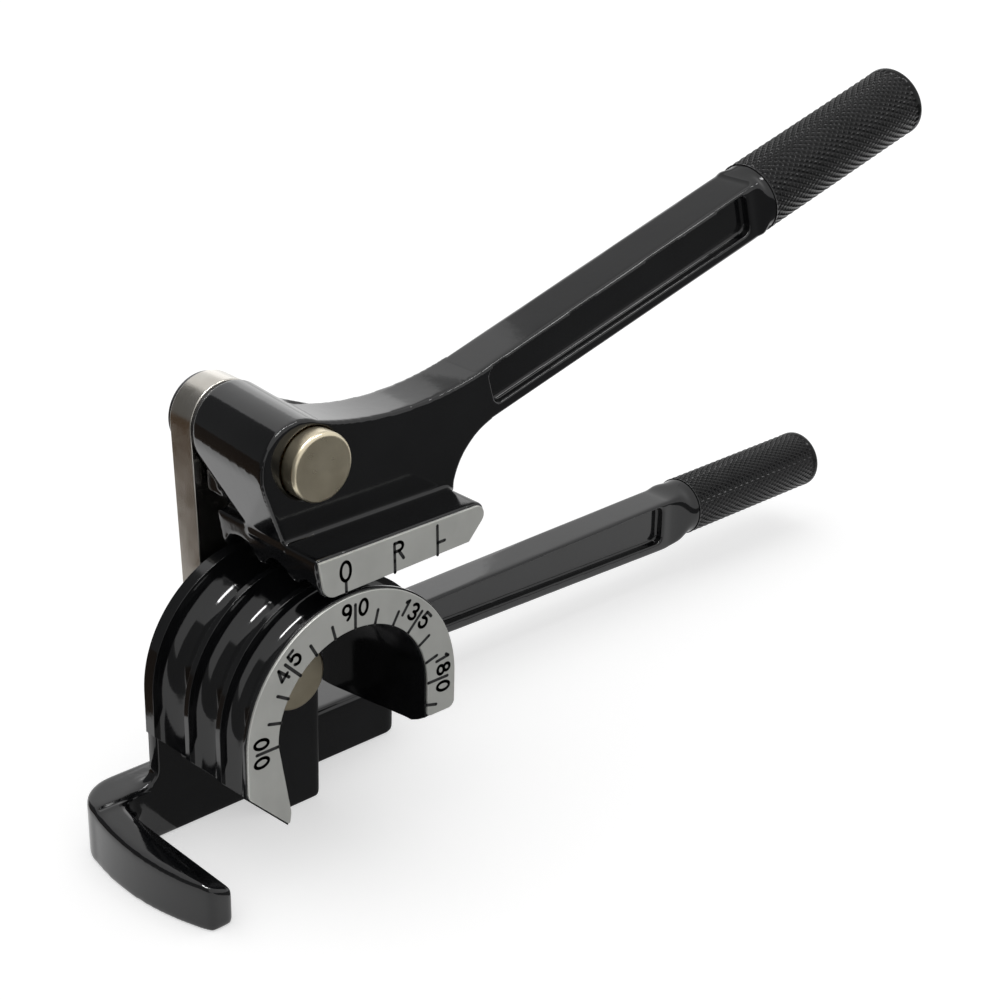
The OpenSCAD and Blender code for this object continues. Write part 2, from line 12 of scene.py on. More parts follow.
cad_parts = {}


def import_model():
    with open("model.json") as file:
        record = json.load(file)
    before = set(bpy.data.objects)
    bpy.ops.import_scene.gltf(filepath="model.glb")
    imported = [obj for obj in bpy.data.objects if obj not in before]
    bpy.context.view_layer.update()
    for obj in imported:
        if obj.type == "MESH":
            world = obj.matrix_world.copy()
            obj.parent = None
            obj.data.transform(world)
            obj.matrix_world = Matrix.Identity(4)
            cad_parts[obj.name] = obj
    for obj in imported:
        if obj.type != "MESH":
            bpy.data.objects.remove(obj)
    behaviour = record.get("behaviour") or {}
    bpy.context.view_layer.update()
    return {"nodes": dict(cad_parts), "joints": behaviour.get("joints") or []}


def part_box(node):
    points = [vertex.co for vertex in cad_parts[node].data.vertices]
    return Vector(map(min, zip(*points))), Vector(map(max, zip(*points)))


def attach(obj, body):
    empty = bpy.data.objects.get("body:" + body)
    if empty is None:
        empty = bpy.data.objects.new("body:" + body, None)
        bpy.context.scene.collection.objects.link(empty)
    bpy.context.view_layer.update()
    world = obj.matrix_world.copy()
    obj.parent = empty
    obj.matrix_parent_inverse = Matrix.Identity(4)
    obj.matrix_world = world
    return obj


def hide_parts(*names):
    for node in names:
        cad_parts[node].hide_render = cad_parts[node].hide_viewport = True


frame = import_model()

# Modelling is in millimetres and is brought to the frame's metres when a piece is finished
MM = 0.001
TURN = 2 * math.pi

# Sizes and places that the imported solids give, in millimetres
FRONT_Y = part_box("die_scale")[0].y / MM
PLATE_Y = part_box("die_scale")[1].y / MM
BEND_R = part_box("forming_die")[1].x / MM
SEAT_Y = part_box("forming_die")[1].y / MM
BAR_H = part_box("foot_hook")[1].z / MM
BAR_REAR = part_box("foot_hook")[1].y / MM
TIP_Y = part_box("foot_hook")[0].y / MM
BAR_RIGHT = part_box("foot_hook")[1].x / MM
SHOE_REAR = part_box("bending_shoe")[1].y / MM
ARM_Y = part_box("upper_bush")[0].y / MM
BUSH_R = (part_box("upper_bush")[1].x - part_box("upper_bush")[0].x) / 2 / MM
AXIS_H = frame["joints"][0]["pos_m"][2] / MM
PIN = Vector((frame["joints"][1]["pos_m"][0] / MM, frame["joints"][1]["pos_m"][2] / MM - AXIS_H))

# Forming die
TUBES = (6.35, 7.94, 9.53)
GROOVE_CLEAR = 0.1
FRONT_RIM = 1.2
RIB = 1.3
REAR_RIM = 2.8
ARCH_WALL = 2.3
LEFT_DROP = 8.3
TIP_DROP = 17.2
TIP_FLARE = 2.5
TIP_RISE = 2.5
RIGHT_DROP = 7.4
FOOT_ROUND = 1.5
FOOT_CHIN = 9.3
FOOT_FALL = 12.3
CHIN_DEPTH = 3.0
WEB_DEPTH = 20.3
WEB_RIGHT = 8.2
WEB_ROUND = 1.5
WALL_FILLET = 3.2
LIP = 0.4

# Foot and hook
BAR_T = 7.2
BAR_ROUND = 3.0
BAR_FRONT = BAR_REAR - BAR_T
TIP_W = 4.8
TIP_ROUND = 1.4
HOOK_CORNER = 8.6
HOOK_BOW = 51.7
HOOK_FALL = 2.6
HOOK_LIP = 7.0
HOOK_STEP = 0.45
HOOK_EASE = 0.8
SEAM_HALF = 0.5
SEAM_DEPTH = 0.3
SEAM_MARGIN = 1.0
FALL_START = 0.6
RIDGE_ROOT = (3.3, 1.4)
RIDGE_MID = 4.9
RIM_STEEP = 0.3
RIM_FLAT = 0.5
HOOK_CLEAR = 0.15
HOOK_IN = BEND_R + TUBES[2] / 2 + HOOK_CLEAR

# Lever and shoe
ARM_T = 10.5
ARM_REAR = ARM_Y + ARM_T
BOSS_R = 8.3
BOSS_SHIFT = 2.4
DIP_R = 70.0
DIP_DEPTH = 3.7
DIP_X = 20.4
THROAT_R = 13.9
BEAM_START = 40.5
BEAM_LAP = 2.0
GUSSET_DEPTH = 4.0
GUSSET_REACH = 10.5
GUSSET_INSET = 0.3
CHEEK_DROP = 13.0
STEM_TO = 0.8
STEM_BACK = 2.6
SOLE_GAP = 0.6
SOLE = BEND_R + SOLE_GAP
SHOE_TILT = math.radians(2)
SHOE_BACK = 6.0
SHOE_FRONT = 27.8
SHOE_OVER = 6.2
SHOE_ROUND = 1.9
SHOE_LEAN = 1.0
SHOE_H_LEFT = 8.0
SHOE_H_RIGHT = 7.0
SHOE_LEAD = 2.6
SHOE_LAP = 1.5
BORE_EASE = 0.3
BORE_R = BUSH_R + BORE_EASE

# Handles: heights above and below the axis are given at the root, with their growth to the neck
UPPER_RISE = math.radians(16.45)
UPPER_DROP = 9.15
UPPER_REACH = 169.6
UPPER_TOP = (4.95, 0.9)
UPPER_LOW = (5.7, 0.4)
UPPER_NECK = 4.5
UPPER_GRIP = (49.0, 7.6)
LOWER_RISE = math.radians(0.7)
LOWER_DROP = 16.35
LOWER_REACH = 181.7
LOWER_TOP = (4.15, 0.95)
LOWER_LOW = (4.7, 2.6)
LOWER_NECK = 9.0
LOWER_GRIP = (44.5, 6.85)
LOWER_T = 8.7
LOWER_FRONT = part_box("lower_rear_washer")[1].y / MM
SIDE_POCKET = 2.0
POCKET_RIM = 1.5
POCKET_TOP = 0.8
POCKET_FOOT = 2.4
POCKET_ROUND = 1.6
NECK_STEPS = 12
NECK_WAIST = 0.05
NECK_INSET = 0.15
TENON_INSET = 0.3
GRIP_FLARE = 0.1
GRIP_ROUND = 0.8
ROOT_LEFT = 12.0
ROOT_RAMP = 6.0
ROOT_SLANT = 0.7

# Skins, edges and the laps of shells that overlap
FOOT_VOXEL = 0.31
FOOT_PASSES = 40
CAST_VOXEL = 0.3
CAST_PASSES = 16
CAST_EDGE = 0.7
HANDLE_VOXEL = 0.26
HANDLE_PASSES = 16
LAP = 1.0
NEAR = 0.01
SHARP_ANGLE = math.radians(40)

# Least angles of the edges that are rounded over, in degrees
DIE_SHARP = 50
LINK_SHARP = 45
PLATE_SHARP = 50
CORNER_SHARP = 35

# Steps of the round shapes
ROUND_STEPS = 8
BOSS_STEPS = 96
RING = 64
GROOVE_STEPS = 22
ARCH_STEPS = 120
BORE_STEPS = 16


# Outline helpers

def arc(centre, radius, start, end, steps):
    """Points on an arc from start to end, in degrees."""
    angles = [math.radians(start + (end - start) * i / steps) for i in range(steps + 1)]
    return [(centre[0] + radius * math.cos(a), centre[1] + radius * math.sin(a)) for a in angles]


def turned(point, angle):
    """A point in X and Z turned about the die axis."""
    x, z = point
    return (x * math.cos(angle) - z * math.sin(angle), x * math.sin(angle) + z * math.cos(angle))


def rounded(before, corner, after, radius):
    """An arc in place of the corner between two straight edges."""
    corner = Vector(corner)
    a = (Vector(before) - corner).normalized()
    b = (Vector(after) - corner).normalized()
    half = a.angle(b) / 2
    centre = corner + (a + b).normalized() * radius / math.sin(half)
    ends = [corner + side * radius / math.tan(half) - centre for side in (a, b)]
    sweep = ends[0].angle_signed(ends[1])
    start = math.atan2(ends[0].y, ends[0].x)
    angles = [start - sweep * i / ROUND_STEPS for i in range(ROUND_STEPS + 1)]
    return [(centre.x + radius * math.cos(t), centre.y + radius * math.sin(t)) for t in angles]


def verts_in(geom):
    """The vertices among what an operator made."""
    return [g for g in geom if isinstance(g, bmesh.types.BMVert)]


def edges_in(geom):
    """The edges among what an operator made."""
    return [g for g in geom if isinstance(g, bmesh.types.BMEdge)]


def extruded(verts_of, offset, points):
    """A closed prism from an outline and the offset of its far face."""
    bm = bmesh.new()
    face = bm.faces.new([bm.verts.new(verts_of(p)) for p in points])
    grown = bmesh.ops.extrude_face_region(bm, geom=[face])["geom"]
    bmesh.ops.translate(bm, verts=verts_in(grown), vec=offset)
    bmesh.ops.recalc_face_normals(bm, faces=bm.faces)
    return bm


def across(points, y0, y1):
    """A prism from an outline in X and Z, measured from the die axis, between two depths."""
    return extruded(lambda p: (p[0], y0, AXIS_H + p[1]), (0, y1 - y0, 0), points)


def upright(points, z0, z1):
    """A prism from an outline in X and Y, between two heights."""
    return extruded(lambda p: (p[0], p[1], z0), (0, 0, z1 - z0), points)


def hull_of(points):
    """The convex hull of some points."""
    bm = bmesh.new()
    for p in points:
        bm.verts.new(p)
    made = bmesh.ops.convex_hull(bm, input=bm.verts)
    bmesh.ops.delete(bm, geom=verts_in(made["geom_interior"]), context="VERTS")
    bmesh.ops.recalc_face_normals(bm, faces=bm.faces)
    return bm


def cap(bm, edges):
    """Closes a planar loop of edges."""
    bmesh.ops.contextual_create(bm, geom=edges)


def ringed(rows, segments, point_of):
    """A closed bar through rows of one ring each, where point_of gives each point of a row."""
    bm = bmesh.new()
    verts = bmesh.ops.create_circle(bm, cap_ends=False, segments=segments, radius=1)["verts"]
    edges = bm.edges[:]
    first = edges
    for number, row in enumerate(rows):
        if number:
            grown = bmesh.ops.extrude_edge_only(bm, edges=edges)["geom"]
            verts = verts_in(grown)
            edges = edges_in(grown)
        for i, v in enumerate(verts):
            v.co = point_of(row, i)
    cap(bm, first)
    cap(bm, edges)
    bmesh.ops.recalc_face_normals(bm, faces=bm.faces)
    return bm


def sharp_edges(bm, degrees):
    """Edges whose two faces turn by more than some degrees."""
    return [e for e in bm.edges if e.is_manifold and e.calc_face_angle(0) > math.radians(degrees)]


def bevelled(bm, edges, width, segments, clamp=True):
    """A shell with some of its edges rounded over."""
    bmesh.ops.bevel(
        bm, geom=edges, offset=width, offset_type="OFFSET", affect="EDGES", segments=segments, profile=0.5,
        clamp_overlap=clamp, material=-1)
    return bm


def eased(bm, edges, width):
    """A shell with some of its edges rounded to their full width, so that a skin follows them evenly."""
    return bevelled(bm, edges, width, segments=5, clamp=False)


def moved(bm, matrix):
    bmesh.ops.transform(bm, matrix=matrix, verts=bm.verts)
    return bm


# Mesh helpers

def mesh_of(bm, name):
    mesh = bpy.data.meshes.new(name)
    bm.to_mesh(mesh)
    bm.free()
    return mesh


def gathered(shells):
    """Several closed shells in one bmesh."""
    whole = bmesh.new()
    for shell in shells:
        part = mesh_of(shell, "part")
        whole.from_mesh(part)
        bpy.data.meshes.remove(part)
    return whole


def scratch_object(bm, name):
    obj = bpy.data.objects.new(name, mesh_of(bm, name))
    bpy.context.scene.collection.objects.link(obj)
    return obj


def settled(obj):
    """The mesh of an object with its modifiers applied, as a bmesh. The object is removed."""
    bpy.context.view_layer.update()
    graph = bpy.context.evaluated_depsgraph_get()
    mesh = bpy.data.meshes.new_from_object(obj.evaluated_get(graph))
    bm = bmesh.new()
    bm.from_mesh(mesh)
    bpy.data.meshes.remove(mesh)
    bpy.data.objects.remove(obj)
    return bm


def carved(bm, cutters):
    """A closed shell with the cutters taken away from it."""
    body = scratch_object(bm, "body")
    tools = [scratch_object(c, "cutter") for c in cutters]
    for tool in tools:
        cut = body.modifiers.new("cut", "BOOLEAN")
        cut.operation = "DIFFERENCE"
        cut.solver = "EXACT"
        cut.object = tool
    result = settled(body)
    for tool in tools:
        bpy.data.objects.remove(tool)
    return result


def rod(radius, length, matrix):
    """A closed cylinder."""
    bm = bmesh.new()
    bmesh.ops.create_cone(
        bm, cap_ends=True, segments=64, radius1=radius, radius2=radius, depth=length, matrix=matrix)
    return bm


def cast_skin(shells, voxel, passes):
    """One skin over overlapping shells, with the soft edges and fillets of a casting."""
    body = scratch_object(gathered(shells), "casting")
    skin = body.modifiers.new("skin", "REMESH")
    skin.mode = "VOXEL"
    skin.voxel_size = voxel
    soft = body.modifiers.new("soft", "SMOOTH")
    soft.factor = 0.5
    soft.iterations = passes
    return settled(body)


def finished(bm, name, body, material, replaces=(), even=False):
    """A piece of the object, in metres, riding on its body."""
    bmesh.ops.scale(bm, vec=(MM, MM, MM), verts=bm.verts)
    for face in bm.faces:
        face.smooth = True
    mesh = mesh_of(bm, name)
    mesh.set_sharp_from_angle(angle=SHARP_ANGLE)
    mesh.materials.append(material)
    piece = bpy.data.objects.new(name, mesh)
    bpy.context.scene.collection.objects.link(piece)
    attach(piece, body)
    if replaces:
        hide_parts(*replaces)
    if even:
        piece.modifiers.new("even", "WEIGHTED_NORMAL").keep_sharp = True


# Materials

class Finish:
    """A node material with a Principled shader, on Object coordinates."""

    def __init__(self, name, color, roughness, metallic=0.0):
        self.material = bpy.data.materials.new(name)
        self.material.use_nodes = True
        self.tree = self.material.node_tree
        self.shader = self.tree.nodes["Principled BSDF"]
        self.place = self.tree.nodes.new("ShaderNodeTexCoord").outputs["Object"]
        self.shader.inputs["Base Color"].default_value = (*color, 1)
        self.shader.inputs["Roughness"].default_value = roughness
        self.shader.inputs["Metallic"].default_value = metallic

    def noise(self, scale, detail, stretch=None):
        node = self.tree.nodes.new("ShaderNodeTexNoise")
        node.inputs["Scale"].default_value = scale
        node.inputs["Detail"].default_value = detail
        source = self.place
        if stretch:
            mapping = self.tree.nodes.new("ShaderNodeMapping")
            mapping.inputs["Scale"].default_value = stretch
            self.tree.links.new(source, mapping.inputs["Vector"])
            source = mapping.outputs["Vector"]
        self.tree.links.new(source, node.inputs["Vector"])
        return node.outputs["Fac"]

    def ramp(self, factor, stops):
        node = self.tree.nodes.new("ShaderNodeValToRGB")
        for element, (at, color) in zip(node.color_ramp.elements, stops):
            element.position = at
            element.color = (*color, 1)
        self.tree.links.new(factor, node.inputs["Fac"])
        return node.outputs["Color"]

    def spread(self, factor, low, high):
        node = self.tree.nodes.new("ShaderNodeMapRange")
        node.inputs["To Min"].default_value = low
        node.inputs["To Max"].default_value = high
        self.tree.links.new(factor, node.inputs["Value"])
        return node.outputs["Result"]

    def bump(self, height, distance):
        node = self.tree.nodes.new("ShaderNodeBump")
        node.inputs["Distance"].default_value = distance
        node.inputs["Strength"].default_value = 1
        self.tree.links.new(height, node.inputs["Height"])
        self.feed("Normal", node.outputs["Normal"])

    def feed(self, socket, output):
        self.tree.links.new(output, self.shader.inputs[socket])


def gloss_paint():
    """Black gloss paint over a casting, slightly patchy and with a faint orange peel."""
    f = Finish("gloss_black_paint", (0.004, 0.0043, 0.005), 0.2)
    stops = [(0.3, (0.003, 0.0032, 0.0038)), (0.75, (0.0075, 0.0078, 0.0085))]
    f.feed("Base Color", f.ramp(f.noise(60, 4), stops))
    f.feed("Roughness", f.spread(f.noise(140, 5), 0.05, 0.13))
    f.bump(f.noise(420, 2), 0.000012)
    return f.material


def knurl_paint():
    """The same paint, thin over the knurl, duller and with brighter patches."""
    f = Finish("knurl_black_paint", (0.006, 0.0062, 0.0068), 0.3)
    stops = [(0.35, (0.004, 0.0042, 0.0046)), (0.8, (0.012, 0.012, 0.0125))]
    f.feed("Base Color", f.ramp(f.noise(240, 4), stops))
    f.feed("Roughness", f.spread(f.noise(500, 4), 0.1, 0.24))
    f.shader.inputs["Specular IOR Level"].default_value = 0.17
    return f.material


def satin_face():
    """Ground metal of the graduated faces, with a fine even grain."""
    f = Finish("satin_graduated_face", (0.5, 0.5, 0.47), 0.5, 0.62)
    stops = [(0.3, (0.6, 0.605, 0.575)), (0.75, (0.7, 0.705, 0.67))]
    f.feed("Base Color", f.ramp(f.noise(90, 5), stops))
    f.feed("Roughness", f.spread(f.noise(900, 3, (1, 1, 0.15)), 0.4, 0.56))
    f.bump(f.noise(2600, 2, (1, 1, 0.1)), 0.000004)
    return f.material


def plated(name, dark, light, rough):
    """Bright plate with faint smears and hairlines."""
    f = Finish(name, light, rough[0], 1.0)
    f.feed("Base Color", f.ramp(f.noise(110, 5), [(0.3, dark), (0.75, light)]))
    f.feed("Roughness", f.spread(f.noise(330, 6), *rough))
    f.bump(f.noise(700, 5, (1, 1, 0.2)), 0.000006)
    return f.material


def bronze():
    """Plain bearing bronze."""
    f = Finish("bearing_bronze", (0.5, 0.33, 0.15), 0.4, 1.0)
    f.feed("Roughness", f.spread(f.noise(500, 4), 0.32, 0.5))
    return f.material


def spring_steel():
    """Dark oiled spring steel of the washers and retaining rings."""
    f = Finish("dark_spring_steel", (0.12, 0.12, 0.125), 0.38, 1.0)
    f.feed("Roughness", f.spread(f.noise(600, 4), 0.3, 0.48))
    return f.material


def mark_fill():
    """Dark filling of the engraved marks."""
    f = Finish("mark_fill", (0.012, 0.012, 0.013), 0.6)
    stops = [(0.3, (0.008, 0.008, 0.009)), (0.8, (0.03, 0.03, 0.03))]
    f.feed("Base Color", f.ramp(f.noise(900, 3), stops))
    return f.material


PAINT = gloss_paint()
KNURL = knurl_paint()
SATIN = satin_face()
NICKEL = plated("warm_nickel", (0.58, 0.51, 0.37), (0.8, 0.73, 0.56), (0.2, 0.42))
ZINC = plated("zinc_plate", (0.5, 0.475, 0.43), (0.63, 0.61, 0.57), (0.14, 0.3))
BRONZE = bronze()
STEEL = spring_steel()
FILL = mark_fill()


# Forming die

def groove_list():
    """Grooves as depth of the centre and radius."""
    found = []
    edge = FRONT_Y + FRONT_RIM
    for tube in TUBES:
        radius = tube / 2 + GROOVE_CLEAR
        found.append((edge + radius, radius))
        edge += 2 * radius + RIB
    return found


GROOVES = groove_list()
REAR_Y = GROOVES[2][0] + GROOVES[2][1] + REAR_RIM
ARCH_R = BEND_R - GROOVES[2][1] - ARCH_WALL
WEB_Y = FRONT_Y + WEB_DEPTH
FOOT_FRONT = REAR_Y - REAR_RIM
SLANT = BEND_R + LEFT_DROP


def die_section():
    """The die's section as points of depth and radius, from the arch round the outside and back."""
    points = [(PLATE_Y, ARCH_R), (PLATE_Y, BEND_R)]
    for y, r in GROOVES:
        points += arc((y, BEND_R), r, 180, 360, GROOVE_STEPS)
    points += [(REAR_Y, BEND_R)]
    depths = [REAR_Y + (PLATE_Y - REAR_Y) * i / BORE_STEPS for i in range(BORE_STEPS)]
    return points + [(y, ARCH_R) for y in depths]


def foot_drop(y):
    """How far the right side reaches below the axis at a depth."""
    chin = PLATE_Y + CHIN_DEPTH
    if y < chin:
        return RIGHT_DROP + (FOOT_CHIN - RIGHT_DROP) * (y - PLATE_Y) / CHIN_DEPTH
    return FOOT_CHIN + (FOOT_FALL - FOOT_CHIN) * min(1, (y - chin) / (FOOT_FRONT - chin))


def sliced(bm, point, normal):
    """Cuts away what lies beyond a plane and closes the cut."""
    geom = bm.verts[:] + bm.edges[:] + bm.faces[:]
    cut = bmesh.ops.bisect_plane(
        bm, geom=geom, dist=1e-5, plane_co=point, plane_no=normal, clear_outer=True)["geom_cut"]
    cap(bm, edges_in(cut))


def drawn_down(bm, edges, drop):
    """Draws a loop of edges straight down, and returns the new edges and vertices."""
    grown = bmesh.ops.extrude_edge_only(bm, edges=edges)["geom"]
    verts = verts_in(grown)
    bmesh.ops.translate(bm, verts=verts, vec=(0, 0, -drop))
    return edges_in(grown), verts


def die_arch():
    """The grooved arch, swept up its left side, over the top and down its right side."""
    bm = bmesh.new()
    ring = [bm.verts.new((-r, y, AXIS_H)) for y, r in die_section()]
    start = [bm.edges.new((a, b)) for a, b in zip(ring, ring[1:] + ring[:1])]
    swept = bmesh.ops.spin(
        bm, geom=ring + start, cent=(0, 0, AXIS_H), axis=(0, 1, 0), angle=math.pi, steps=ARCH_STEPS)
    bottom, verts = drawn_down(bm, edges_in(swept["geom_last"]), RIGHT_DROP)
    for v in verts:
        v.co.z = AXIS_H - foot_drop(v.co.y)
        if v.co.y < PLATE_Y + NEAR and v.co.x > BEND_R - NEAR:
            v.co.z += FOOT_ROUND / 2
    cap(bm, bottom)
    bottom, verts = drawn_down(bm, start, TIP_DROP)
    side_x = TIP_FLARE - ARCH_R
    tip_slope = TIP_RISE / (side_x - (TIP_DROP - SLANT))
    for v in verts:
        if v.co.x > -ARCH_R - NEAR:
            v.co.x = side_x
        v.co.z = AXIS_H - TIP_DROP + TIP_RISE + tip_slope * (v.co.x - side_x)
    cap(bm, bottom)
    sliced(bm, (-SLANT, 0, AXIS_H), (-1, 0, -1))
    bmesh.ops.recalc_face_normals(bm, faces=bm.faces)
    return bevelled(bm, sharp_edges(bm, DIE_SHARP), LIP, segments=4)


finished(die_arch(), "forming_die_arch", "root", PAINT, ["forming_die"], even=True)


# Root casting: web, wall, foot with hook, and lower handle

def web():
    """Web inside the arch, down to the floor in front of the foot bar."""
    reach = ARCH_R + ARCH_WALL / 2
    top = math.degrees(math.acos(WEB_RIGHT / reach))
    outline = arc((0, 0), reach, top, 180, steps=48)
    outline += [(-reach, reach - SLANT), (AXIS_H - SLANT, -AXIS_H), (WEB_RIGHT, -AXIS_H)]
    solid = across(outline, WEB_Y, SEAT_Y)
    front = [
        e for e in solid.edges
        if all(abs(v.co.x - WEB_RIGHT) < NEAR and v.co.y < WEB_Y + NEAR for v in e.verts)]
    return eased(solid, front, WEB_ROUND)


def rear_wall():
    """Wall under the die's left side, with its fillet into the hook's corner."""
    low = BAR_H - AXIS_H
    outline = [(0, 0), (-BEND_R, 0)]
    outline += arc((-BEND_R - WALL_FILLET, low + WALL_FILLET), WALL_FILLET, 0, -90, steps=10)
    return across(outline + [(-BEND_R - WALL_FILLET, low - LAP), (0, low - LAP)], FOOT_FRONT, REAR_Y)


def bow_centre(corner, tip):
    """Centre of the arc of the hook's bowed side."""
    half = (tip - corner) / 2
    height = math.sqrt(HOOK_BOW ** 2 - half.length_squared)
    return corner + half + height * Vector((-half.y, half.x)).normalized()


def foot_plan():
    """Plan of the foot bar with a rounded rear corner, and of the hook with its bowed side."""
    corner = Vector((-HOOK_IN - HOOK_CORNER, BAR_REAR - HOOK_CORNER))
    tip = Vector((-HOOK_IN - TIP_W, TIP_Y))
    centre = bow_centre(corner, tip)
    ends = [math.degrees(math.atan2(*(p - centre).yx)) % 360 for p in (corner, tip)]
    right = BAR_RIGHT - BAR_ROUND
    bow = arc(centre, HOOK_BOW, *ends, steps=40)
    plan = rounded(bow[-1], (-HOOK_IN, TIP_Y), (-HOOK_IN, 0), TIP_ROUND)
    plan += [(-HOOK_IN, FOOT_FRONT), (WEB_RIGHT, FOOT_FRONT), (WEB_RIGHT, BAR_FRONT)]
    plan += arc((right, BAR_FRONT + BAR_ROUND), BAR_ROUND, -90, 0, steps=8)
    plan += arc((right, BAR_REAR - BAR_ROUND), BAR_ROUND, 0, 90, steps=8)
    plan += arc((-HOOK_IN, BAR_REAR - HOOK_CORNER), HOOK_CORNER, 90, 180, steps=24)
    return plan + bow[1:-3] + rounded(bow[-4], bow[-1], (-HOOK_IN, TIP_Y), TIP_ROUND)


def hook_cutters():
    """Cutters for the hook's top: its fall to the tip, and the slope from its ridge to its inner lip."""
    start = FOOT_FRONT - FALL_START
    beyond = TIP_Y - LAP
    left = -HOOK_IN - 2 * HOOK_CORNER
    over = 2 * BAR_H
    side = [(start, BAR_H - HOOK_STEP), (beyond, BAR_H - HOOK_FALL), (beyond, over), (start, over)]
    fall = hull_of([(x, y, z) for x in (left, 0) for y, z in side])
    ridge = [
        (-HOOK_IN - RIDGE_ROOT[0], FOOT_FRONT - RIDGE_ROOT[1], BAR_H - HOOK_STEP),
        (-HOOK_IN - RIDGE_MID, (FOOT_FRONT + TIP_Y) / 2, BAR_H - (HOOK_STEP + HOOK_FALL) / 2),
        (-HOOK_IN - TIP_W, beyond, BAR_H - HOOK_FALL)]
    inner = [(-HOOK_IN, y, HOOK_LIP) for y in (FOOT_FRONT, beyond)]
    beside = [(0, y, z) for _, y, z in inner]
    above = [(x, y, over) for ridge_x, y, _ in ridge + inner for x in (ridge_x, 0)]
    return [fall, hull_of(ridge + inner + beside + above)]


def foot_hook():
    """Foot bar and hook, with the hook's hollowed top and an eased rim."""
    solid = carved(upright(foot_plan(), 0, BAR_H), hook_cutters())
    rim = []
    for edge in solid.edges:
        rises = [f.normal.z for f in edge.link_faces]
        if edge.is_convex and min(abs(r) for r in rises) < RIM_STEEP and max(rises) > RIM_FLAT:
            rim.append(edge)
    return eased(solid, rim, HOOK_EASE)


def seamed(bm):
    """The casting with the thin seam across the top between bar and hook."""
    left = -HOOK_IN - HOOK_CORNER + SEAM_MARGIN
    right = -BEND_R - SEAM_MARGIN
    for v in bm.verts:
        away = abs(v.co.y - FOOT_FRONT)
        if away < SEAM_HALF and v.co.z > BAR_H - SEAM_MARGIN and left < v.co.x < right:
            v.co.z -= SEAM_DEPTH * (1 - away / SEAM_HALF)
    return bm


def on_handle(at, y, rise, drop):
    """Place of a handle whose own X runs along it."""
    return (Matrix.Translation((at[0], y, AXIS_H + at[1])) @ Matrix.Rotation(-rise, 4, "Y")
            @ Matrix.Translation((0, 0, -drop)))


# Squareness of a handle's section, along its beam and at its grip
SQUARE = 16
ROUND = 2


def ring_point(i, half_y, half_z, squareness):
    """A point of a section that goes from round to nearly square."""
    c, s = math.cos(TURN * i / RING), math.sin(TURN * i / RING)
    power = ROUND / squareness
    return (math.copysign(abs(c) ** power, c) * half_y, math.copysign(abs(s) ** power, s) * half_z)


def section_point(section, i):
    """A point of a handle's section, given as X, half depth, top, bottom and squareness."""
    x, half_y, top, low, squareness = section
    y, z = ring_point(i, half_y, (top + low) / 2, squareness)
    return (x, y, z + (top - low) / 2)


def pocket(start, end, top, low, side, thick):
    """Cutter for the recessed panel in a handle's side, with rounded corners."""
    left_low, right_low = (start, POCKET_FOOT - low[0]), (end, POCKET_FOOT - low[0] - low[1])
    right_top, left_top = (end, top[0] + top[1] - POCKET_TOP), (start, top[0] - POCKET_TOP)
    corners = [left_low, right_low, right_top, left_top]
    points = []
    for i, corner in enumerate(corners):
        points += rounded(corners[i - 1], corner, corners[(i + 1) % 4], POCKET_ROUND)
    depth = side * (thick / 2 - SIDE_POCKET)
    return extruded(lambda p: (p[0], depth, p[1]), (0, side * 2 * SIDE_POCKET, 0), points)


def handle(start, reach, top, low, neck_l, grip_size, thick):
    """Handle with a panel in each side and a neck that turns it round for the grip."""
    grip_l, grip_r = grip_size
    grip_at = reach - grip_l
    neck_at = grip_at - neck_l
    half, top_end, low_end = thick / 2, sum(top), sum(low)
    sections = [
        (start, half, top[0], low[0], SQUARE), (neck_at - POCKET_RIM, half, top_end, low_end, SQUARE),
        (neck_at, half, top_end, low_end, SQUARE)]
    for i in range(1, NECK_STEPS + 1):
        part = i / NECK_STEPS
        ease = part * part * (3 - 2 * part)
        waist = 1 - NECK_WAIST * math.sin(math.pi * part)
        sizes = [waist * (a + (grip_r - NECK_INSET - a) * ease) for a in (half, top_end, low_end)]
        sections.append((neck_at + part * neck_l, *sizes, SQUARE * (1 - ease) ** 2 + ROUND))
    tenon_r = grip_r - TENON_INSET
    sections.append((grip_at + LAP, tenon_r, tenon_r, tenon_r, ROUND))
    panel = (start + 2 * POCKET_RIM, neck_at - POCKET_RIM, top, low)
    return carved(ringed(sections, RING, section_point), [pocket(*panel, side, thick) for side in (-1, 1)])


ROOT_REAR = LOWER_FRONT + LOWER_T - POCKET_RIM / 2
ROOT_END = BAR_RIGHT - BAR_ROUND


def root_block():
    """Block that joins the lower handle to the foot bar behind the link's sweep."""
    slant = ROOT_SLANT * (ROOT_REAR - BAR_REAR)
    plan = [
        (ROOT_LEFT, BAR_REAR - LAP), (ROOT_END, BAR_REAR - LAP), (BAR_RIGHT, LOWER_FRONT + POCKET_RIM),
        (BAR_RIGHT, ROOT_REAR), (ROOT_LEFT + slant, ROOT_REAR)]
    return upright(plan, 0, BAR_H)


def root_ramp():
    """Ramp from the root block up to the lower handle."""
    low = BAR_H - AXIS_H
    top = LOWER_TOP[0] - LOWER_DROP - POCKET_RIM / 2
    outline = [
        (ROOT_END - ROOT_RAMP, low - POCKET_RIM), (BAR_RIGHT, low - POCKET_RIM), (BAR_RIGHT, top),
        (ROOT_END, top), (ROOT_END - ROOT_RAMP, low)]
    return across(outline, LOWER_FRONT + POCKET_RIM / 2, ROOT_REAR)


LOWER_PLACE = on_handle((0, 0), LOWER_FRONT + LOWER_T / 2, LOWER_RISE, LOWER_DROP)
UPPER_PLACE = on_handle(PIN, ARM_Y + ARM_T / 2, UPPER_RISE, UPPER_DROP)

